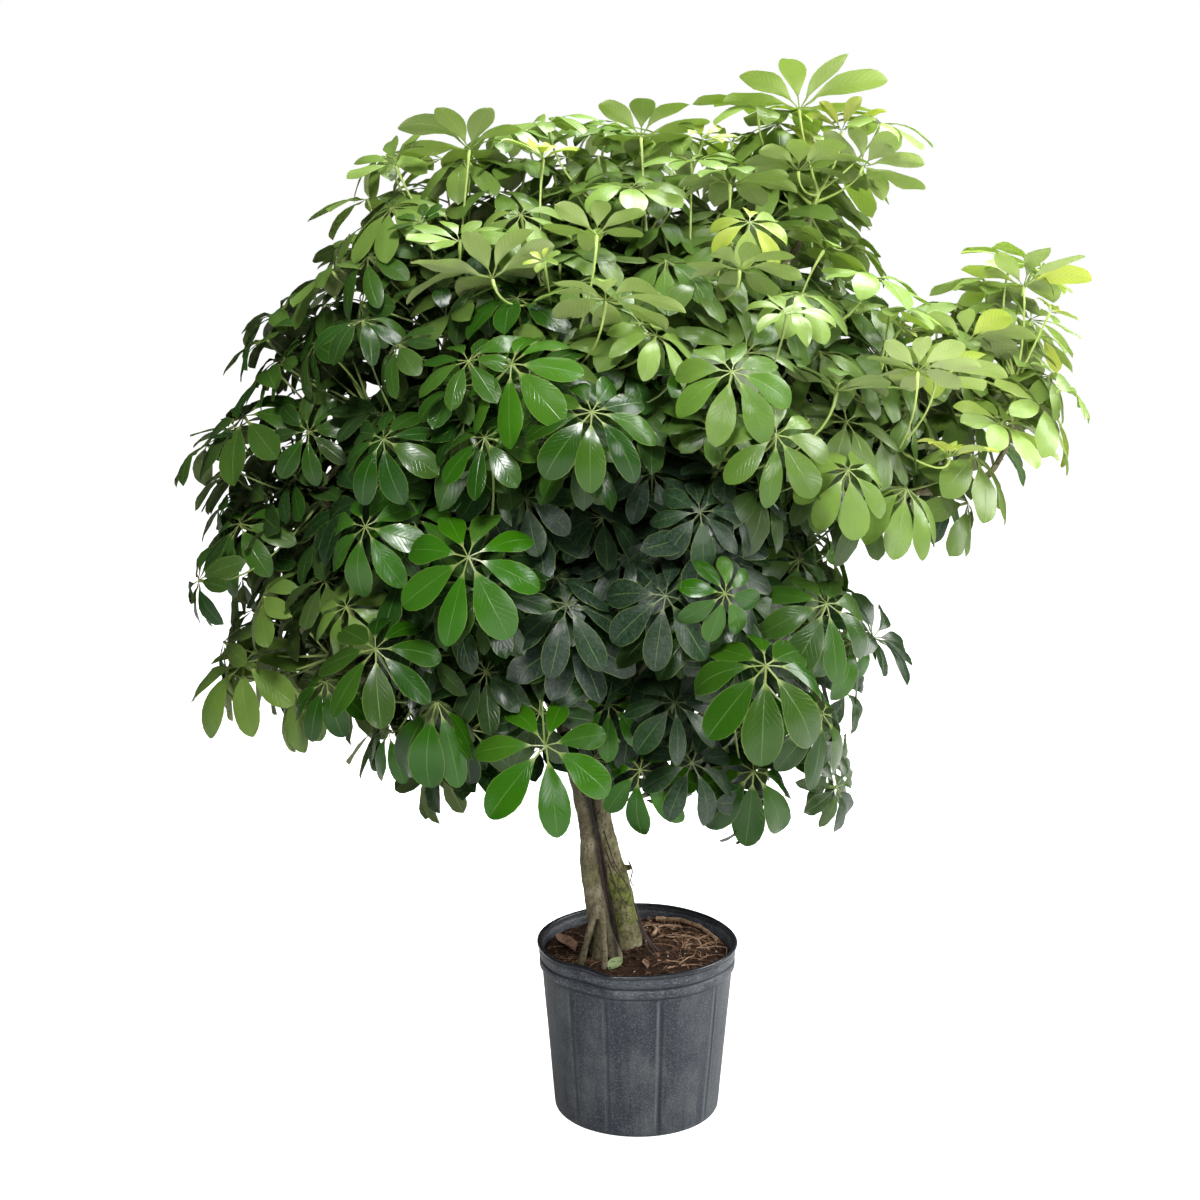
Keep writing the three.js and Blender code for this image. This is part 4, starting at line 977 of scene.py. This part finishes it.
def read_shoot(node):
    """The leaves that a CAD shoot holds, and the line of its green stem."""
    corners, triangles = merged_arrays(node)
    following = [dict() for _ in corners]
    for a, b, c in triangles:
        following[a][b] = c
        following[b][c] = a
        following[c][a] = b
    leaves, used = [], set()
    for middle, ring in enumerate(following):
        if len(ring) < 22:
            continue
        start = next(iter(ring))
        order, spot = [start], ring[start]
        while spot != start and spot in ring and len(order) <= len(ring):
            order.append(spot)
            spot = ring[spot]
        if len(order) != len(ring) or len(order) % 4:
            continue
        hub = corners[middle]
        away = np.linalg.norm(corners[order] - hub, axis=1)
        offset = min(range(4), key=lambda k: away[k::4].sum())
        order = order[offset:] + order[:offset]
        ring_points = corners[order]
        leaflets = []
        for i in range(0, len(order), 4):
            before, tip, after = ring_points[i + 1], ring_points[i + 2], ring_points[i + 3]
            leaflets.append((before, tip, after))
        normal = unit(sum(np.cross(a - hub, c - hub) for a, _, c in leaflets))
        used.update(order)
        used.add(middle)
        leaves.append({"hub": hub, "normal": normal, "leaflets": leaflets, "outline": set(order)})
    neighbours = [set() for _ in corners]
    for triangle in triangles:
        for a in triangle:
            neighbours[a].update(triangle)
    rest = set(range(len(corners))) - used
    for leaf in leaves:
        collar = {v for v in rest if len(neighbours[v] & leaf["outline"]) >= 4}
        bend = {v for c in collar for v in neighbours[c] & rest} - collar
        joint = {v for c in bend for v in neighbours[c] & rest} - collar - bend
        leaf["collar"] = corners[list(collar)].mean(axis=0)
        leaf["start"] = corners[list(joint or bend)].mean(axis=0)
        rest -= collar | bend
    points = corners[list(rest)]
    tip = np.mean([leaf["start"] for leaf in leaves], axis=0)
    root = points[np.argmax(np.linalg.norm(points - tip, axis=1))]
    tip = points[np.argmax(np.linalg.norm(points - root, axis=1))]
    share = (points - root) @ (tip - root) / ((tip - root) @ (tip - root))
    levels = (points[np.abs(share - level) < 0.1] for level in (0.0, 0.25, 0.5, 0.75, 1.0))
    line = np.array([near.mean(axis=0) for near in levels if len(near)])
    line[0] += 0.008 * unit(line[0] - line[1])
    return leaves, smooth_path(line, STEM_STEPS)


def leaf_frame(normal, spin, hub):
    """Two directions in a leaf's plane: down, turned by spin, and across."""
    outward = hub - HEART
    outward[2] = 0
    down = np.array([0.35, 0.35, 1]) * (0, 0, -1) + 0.35 * unit(outward)
    down = unit(down - normal * down.dot(normal))
    across = np.cross(down, normal)
    return math.cos(spin) * down + math.sin(spin) * across, math.cos(spin) * across - math.sin(spin) * down


class Bundle:
    """Corners, faces, UVs, face materials and tones that pile up into one piece."""

    def __init__(self):
        self.corners, self.faces, self.uvs, self.kinds, self.tones = [], [], [], [], []
        self.count = 0

    def add(self, corners, faces, uvs, kinds, tone):
        self.corners.append(corners)
        self.faces += [[self.count + i for i in face] for face in faces]
        uvs = uvs or [[(0.5, 0.5)] * len(face) for face in faces]
        self.uvs += [uv for face in uvs for uv in face]
        self.kinds += kinds
        tone = np.broadcast_to(np.asarray(tone, float), (len(corners), 3))
        self.tones.append(tone)
        self.count += len(corners)

    def piece(self, name, *finishes):
        mesh = bpy.data.meshes.new(name)
        mesh.from_pydata(np.concatenate(self.corners).tolist(), [], self.faces)
        for finish in finishes:
            mesh.materials.append(finish)
        mesh.polygons.foreach_set("material_index", self.kinds)
        layer = mesh.uv_layers.new(name="UVMap")
        layer.data.foreach_set("uv", np.array(self.uvs, np.float32).ravel())
        tones = np.hstack([np.concatenate(self.tones), np.ones((self.count, 1))])
        attribute = mesh.color_attributes.new("tone", "FLOAT_COLOR", "POINT")
        attribute.data.foreach_set("color", tones.astype(np.float32).ravel())
        return new_mesh_object(name, mesh)


def bend_leaflet(master, hub, way, normal, length, width, arch, fold, twist, wave, phase):
    """A leaflet bent to its place: risen and drooping along, folded and waved across."""
    side = np.cross(way, normal)
    points = master[0]
    x, y, z = points[:, 0] * width, points[:, 1], points[:, 2]
    half = np.maximum(np.abs(points[:, 0]).max(), 1e-6) * width
    share = np.abs(x) / half
    blade_share = np.clip((y - STALK_SHARE) / (1 - STALK_SHARE), 0, 1)
    rise = arch * (4 * y * (1 - y) - 0.9 * y ** 3)
    rise = rise + np.abs(x) * fold * blade_share ** 0.4 - 0.055 * share ** 3 * (fold > 0)
    rise = rise + wave * np.sin(2 * math.pi * (1.7 * y + phase) + 1.3 * np.sign(x)) * share ** 1.5
    turn = twist * blade_share
    across = x * np.cos(turn) - z * np.sin(turn)
    raised = rise + x * np.sin(turn) + z * np.cos(turn)
    return hub + length * (np.outer(y, way) + np.outer(across, side) + np.outer(raised, normal))


def add_leaf(bundle, leaf_hub, leaflets, masters, pale, dust_and_shade, young=False, lightest=1.0):
    """leaflets are directions with their own normals and lengths."""
    # lightest caps how bright a leaf's green can be: filling leaves get darker greens, the more so low in the
    # crown, as painted shade.
    shade = draw.uniform(0, lightest)
    for way, own_normal, length in leaflets:
        chance_and_height_shade = np.clip(shade * 0.7 + 0.3 * lightest * draw.uniform(0, 1) + draw.normal(0, 0.05), 0, 1)
        master = masters[int(draw.uniform() < 0.35)]
        fold = draw.uniform(0.10, 0.42) if not young else draw.uniform(0.4, 0.8)
        points = bend_leaflet(
            master, leaf_hub, way, own_normal, length * draw.uniform(0.97, 1.05), draw.uniform(0.92, 1.12),
            draw.uniform(0.03, 0.15), fold, draw.normal(0, 0.28), draw.uniform(0.004, 0.022), draw.uniform())
        paler, more_dust_and_shade = (np.clip(share + draw.normal(0, 0.06), 0, 1) for share in (pale, dust_and_shade))
        bundle.add(points, master[1], master[2], master[3], (paler, more_dust_and_shade, chance_and_height_shade))


def add_stalk(bundle, start, normal, collar, pale, dust_and_shade):
    """The leaf stalk: it leaves the stem, runs out and turns up into the ring of leaflets."""
    reach = np.linalg.norm(start - collar)
    control = collar - 0.4 * reach * normal
    ts = np.linspace(0, 1, 11)
    path = np.array([(1 - t) ** 2 * start + 2 * t * (1 - t) * control + t * t * collar for t in ts])
    path = np.vstack([path, collar + 0.0018 * normal])
    radii = [0.0024, 0.0019, 0.00155, 0.0014, 0.00132, 0.0013, 0.0013, 0.00135, 0.0015, 0.0019, 0.0024,
             0.0016]
    corners, faces = strand(path, radii, 6)
    bundle.add(corners, faces, None, [STALK_SKIN] * len(faces), (pale, dust_and_shade, 0))


shoots = {}
for name in sorted(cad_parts):
    if name.startswith("shoot_"):
        shoots[name] = read_shoot(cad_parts[name])
all_hubs = np.array([leaf["hub"] for leaves, _ in shoots.values() for leaf in leaves])
all_reach = np.array([max(np.linalg.norm(tip - leaf["hub"]) for _, tip, _ in leaf["leaflets"])
                      for leaves, _ in shoots.values() for leaf in leaves])

# Leaves that fill the crown between those of the frame: each grows from a shoot's stem, within the
# crown's outline, keeps clear of the other leaves and doesn't hide those at the front. Sizes in metres.
SPACING = 0.044
MOST_PER_SHOOT = 20
FILL_REACH, FILL_STALK = (0.068, 0.104), (0.055, 0.150)
CROWN_HALF = (0.56, 0.41, 0.43)
CROWN_TOP = [  # how high the crown reaches at places from its left to its right
    (-0.62, 0.95), (-0.52, 1.09), (-0.44, 1.20), (-0.37, 1.30), (-0.27, 1.36), (0.03, 1.39),
    (0.14, 1.42), (0.23, 1.42), (0.27, 1.24), (0.30, 1.14), (0.38, 1.15), (0.48, 1.22), (0.60, 1.19)]
CROWN_FOOT = [  # and how low
    (-0.64, 0.53), (-0.48, 0.52), (-0.38, 0.52), (-0.30, 0.46), (-0.20, 0.42), (0.24, 0.41),
    (0.28, 0.50), (0.34, 0.68), (0.42, 0.77), (0.48, 0.86), (0.60, 0.95)]
BRANCH_GAP = (0.25, 0.68, 0.87)  # the open place under the right branch: from where, and its two heights
PAST_BOX = np.array([0.032, 0.015, 0.030])
RIM_LEAVES = [  # the middle and the reach of leaves that stand out at the crown's edge
    ((-0.550, -0.02, 0.665), 0.078), ((-0.325, -0.01, 1.295), 0.075), ((0.305, 0.0, 1.335), 0.075),
    ((0.545, -0.02, 1.000), 0.070), ((0.415, -0.10, 0.865), 0.085), ((0.305, -0.06, 0.680), 0.080)]
CAMERA = np.array([-0.051, -2.700, 1.296])
fill_hubs = []
fill_leaves = {name: [] for name in shoots}


def inside_crown(spot, margin):
    """Whether a place is within margin of a line from the crown's heart to one of the frame's leaves."""
    lines = all_hubs - HEART
    lengths = (lines ** 2).sum(axis=1)
    share = np.clip(((spot - HEART) @ lines.T) / lengths, 0.0, 1.0)
    return np.linalg.norm(spot - HEART - share[:, None] * lines, axis=1).min() < margin


def hides_front(spot, reach):
    """Whether a leaf here would stand before one of the frame's leaves in the front view."""
    sight = unit(spot - CAMERA)
    to_hubs = all_hubs - CAMERA
    depth = to_hubs @ sight
    aside = np.linalg.norm(to_hubs - np.outer(depth, sight), axis=1)
    here = np.linalg.norm(spot - CAMERA)
    front = all_hubs[:, 1] < 0.06
    return bool((front & (aside < 0.55 * (reach + all_reach)) & (here < depth + 0.030)).any())


def keeps_outline(hub, reach):
    """Whether a leaf stays within the crown's outline in the front view, and within the frame's box."""
    low, high = (np.array(corner) for corner in cad_box)
    if (hub - reach < low - PAST_BOX).any() or (hub + reach > high + PAST_BOX).any():
        return False
    if hub[0] > BRANCH_GAP[0] and BRANCH_GAP[1] < hub[2] < BRANCH_GAP[2]:
        return False
    top = np.interp(hub[0], *zip(*CROWN_TOP))
    return np.interp(hub[0], *zip(*CROWN_FOOT)) < hub[2] - 0.75 * reach and hub[2] + 0.45 * reach < top


def try_leaf(name, at, hub, way, reach, margin):
    """Grows a filling leaf if it stays in the crown's shape and clear of the other leaves."""
    if not keeps_outline(hub, reach) or not inside_crown(hub, margin) or hides_front(hub, reach):
        return
    if np.linalg.norm(np.vstack([all_hubs, *fill_hubs]) - hub, axis=1).min() < SPACING:
        return
    fill_hubs.append(hub)
    fill_leaves[name].append((hub, at, way, reach))


for _ in range(220):
    for name, (leaves, line) in shoots.items():
        if len(fill_leaves[name]) >= MOST_PER_SHOOT:
            continue
        step = int(draw.uniform(0.25, 1.0) * STEM_STEPS)
        at = line[step]
        along = unit(line[min(STEM_STEPS, step + 1)] - line[max(0, step - 1)])
        way = draw.normal(0, 1, 3)
        way = unit(unit(way - along * way.dot(along)) + along * draw.uniform(0.0, 0.9) + (0, 0, 0.25))
        reach = draw.uniform(*FILL_REACH)
        hub = at + way * draw.uniform(*FILL_STALK)
        try_leaf(name, at, hub, way, reach, 0.075 + 0.045 * (hub[2] > 0.95 or hub[0] < -0.30))

# Where the front view shows a full edge and the frame has no leaf, longer stalks carry leaves there.
stem_points = [(name, point) for name, (_, line) in shoots.items() for point in line[6:]]
for _ in range(1500):
    x = draw.uniform(-0.58, 0.55)
    low, high = (np.interp(x, *zip(*edge)) for edge in (CROWN_FOOT, CROWN_TOP))
    hub = np.array([x, draw.uniform(-0.16, 0.20), low + (high - low) * draw.uniform(0, 1)])
    gaps = [np.linalg.norm(point - hub) for _, point in stem_points]
    name, at = stem_points[int(np.argmin(gaps))]
    if 0.05 < min(gaps) < 0.20:
        try_leaf(name, at, hub, unit(hub - at), draw.uniform(0.068, 0.092), 0.14)
for spot, reach in RIM_LEAVES:
    hub = np.array(spot)
    name, at = min(stem_points, key=lambda stem: np.linalg.norm(stem[1] - hub))
    fill_hubs.append(hub)
    fill_leaves[name].append((hub, at, unit(hub - at), reach))

for name, (leaves, line) in shoots.items():
    short = name[len("shoot_"):]
    bundle = Bundle()
    height = float(np.mean([leaf["hub"][2] for leaf in leaves]))
    # Shoots not listed get paler the higher they stand: painted backlight.
    pale, dust_and_shade = LOOKS.get(short, (0.15 + 0.4 * max(0, min(1, (height - 0.9) / 0.4)), 0.1))
    for leaf in leaves:
        hub = leaf["hub"]
        size = max(np.linalg.norm(tip - hub) for _, tip, _ in leaf["leaflets"])
        young = size < 0.066 and pale > 0.3
        ring = []
        for before, tip, after in leaf["leaflets"]:
            way = unit(tip - hub)
            across = after - before
            own = unit(np.cross(across, way))
            if own.dot(leaf["normal"]) < 0:
                own = -own
            own = unit(own + draw.normal(0, 0.10, 3))
            own = unit(own - way * own.dot(way))
            ring.append((way, own, np.linalg.norm(tip - hub)))
        lift = 0.45 if young else 0
        shaded = 0.85 if np.linalg.norm(hub - SHADED_LEAF) < 0.03 else dust_and_shade
        add_leaf(bundle, hub, ring, (broad_blade, slim_blade), min(1, pale + lift), shaded, young)
        add_stalk(bundle, leaf["start"], leaf["normal"], leaf["collar"], pale, dust_and_shade)
    for hub, at, way, reach in fill_leaves[name]:
        outward = unit(hub - HEART)
        # How deep a filling leaf sits in the crown, for painted shade: it darkens the leaf with the dull dust
        # coat and takes away its paleness.
        depth_shade = np.clip(1.15 - np.linalg.norm((hub - HEART) / CROWN_HALF), 0, 1) * 1.3
        normal = unit(0.55 * outward + 0.35 * way + np.array([0, 0, 0.75]) + draw.normal(0, 0.14, 3))
        count = int(draw.integers(7, 10))
        spin = draw.uniform(0, 6.3)
        lift = math.radians(draw.uniform(-42, 4))
        down, across = leaf_frame(normal, spin, hub)
        ring = []
        for i in range(count):
            turn = 2 * math.pi * i / count + draw.normal(0, 0.07)
            flat = math.cos(turn) * down + math.sin(turn) * across
            rise = lift + draw.normal(0, 0.09)
            way_out = unit(math.cos(rise) * flat + math.sin(rise) * normal)
            own = unit(normal - way_out * normal.dot(way_out) + draw.normal(0, 0.12, 3))
            own = unit(own - way_out * own.dot(way_out))
            ring.append((way_out, own, reach * draw.uniform(0.82, 1.04)))
        height_share = float(np.clip((hub[2] - 0.75) / 0.5, 0, 1))
        fill_dust_and_shade = float(np.clip(max(dust_and_shade, depth_shade * (1.1 - hub[2] * 0.55)), 0, 1))
        fill_pale = float(pale * np.clip(1 - depth_shade, 0, 1))
        # Painted shade: filling leaves low in the crown get darker greens, and higher ones lighter.
        add_leaf(bundle, hub, ring, (inner_blade, inner_blade), fill_pale, fill_dust_and_shade,
                 lightest=0.15 + 0.75 * height_share)
        add_stalk(bundle, at, normal, hub - 0.0012 * normal, fill_pale, fill_dust_and_shade)
    widths = np.linspace(0.0044, 0.0032, len(line))
    corners, faces = strand(line, widths, 8)
    woody = np.repeat(np.clip(1.25 - 2.1 * np.linspace(0, 1, len(line)), 0, 1), 8)
    tone = np.stack([np.full(len(corners), pale), np.full(len(corners), dust_and_shade * 0.6), woody], axis=1)
    bundle.add(corners, faces, None, [STALK_SKIN] * len(faces), tone)
    piece = bundle.piece("leafy_" + name, leaf_top, leaf_under, stalk_skin)
    finish_piece(piece, "green_leaf", name, angle=1.0)

# ---- Studio --------------------------------------------------------------------------------------
# A plain pale floor in plain soft light, seen from the front and a little above.

bpy.ops.mesh.primitive_plane_add(size=60, location=(0, 0, 0))
floor = bpy.context.object
floor.name = "studio_floor"
pale_floor, add = material("pale_floor", 0.95, Specular_IOR_Level=0.1)
add.shader.inputs["Base Color"].default_value = (0.60, 0.60, 0.60, 1)
add.shader.inputs["Emission Color"].default_value = (1, 1, 1, 1)
seen = add("ShaderNodeLightPath").outputs["Is Camera Ray"]
add.tree.links.new(times(add, seen, 0.95), add.shader.inputs["Emission Strength"])
floor.data.materials.append(pale_floor)


def soft_light(name, place, target, size, power, colour=(1, 1, 1)):
    lamp = bpy.data.lights.new(name, "AREA")
    lamp.shape, lamp.size, lamp.energy, lamp.color = "DISK", size, power, colour
    light = bpy.data.objects.new(name, lamp)
    light.location = place
    light.rotation_euler = (Vector(target) - Vector(place)).to_track_quat("-Z", "Y").to_euler()
    bpy.context.scene.collection.objects.link(light)


soft_light("overhead", (0.8, 0.7, 3.4), (0.1, 0.1, 0.9), 1.7, 235)
soft_light("key", (-0.35, -2.7, 2.9), (0.05, 0, 0.85), 0.65, 132)
soft_light("rim_right", (2.8, 0.3, 2.2), (0.2, 0, 0.9), 2.2, 175)
soft_light("fill", (1.5, -3.0, 1.3), (0, 0, 0.5), 1.4, 45)

world = bpy.data.worlds.new("studio")
bpy.context.scene.world = world
world.use_nodes = True
tree = world.node_tree
way = tree.nodes.new("ShaderNodeTexCoord")
split = tree.nodes.new("ShaderNodeSeparateXYZ")
tree.links.new(way.outputs["Generated"], split.inputs["Vector"])
sky = tree.nodes.new("ShaderNodeMapRange")
sky.inputs["From Min"].default_value = -0.2
sky.inputs["To Min"].default_value, sky.inputs["To Max"].default_value = 0.01, 0.15
tree.links.new(split.outputs["Z"], sky.inputs["Value"])
seen = tree.nodes.new("ShaderNodeLightPath")
strength = tree.nodes.new("ShaderNodeMath")
strength.operation = "MAXIMUM"
tree.links.new(sky.outputs["Result"], strength.inputs[0])
tree.links.new(seen.outputs["Is Camera Ray"], strength.inputs[1])
tree.links.new(strength.outputs[0], tree.nodes["Background"].inputs["Strength"])
tree.nodes["Background"].inputs["Color"].default_value = (1, 1, 1, 1)

PITCH = math.radians(12.1)
lens = bpy.data.cameras.new("camera")
lens.sensor_width = 36
lens.lens = 36 * 2078 / 1200
camera = bpy.data.objects.new("camera", lens)
camera.location = CAMERA
camera.rotation_euler = (math.pi / 2 - PITCH, 0, 0)
bpy.context.scene.collection.objects.link(camera)
bpy.context.scene.camera = camera
bpy.context.scene.view_settings.view_transform = "Standard"
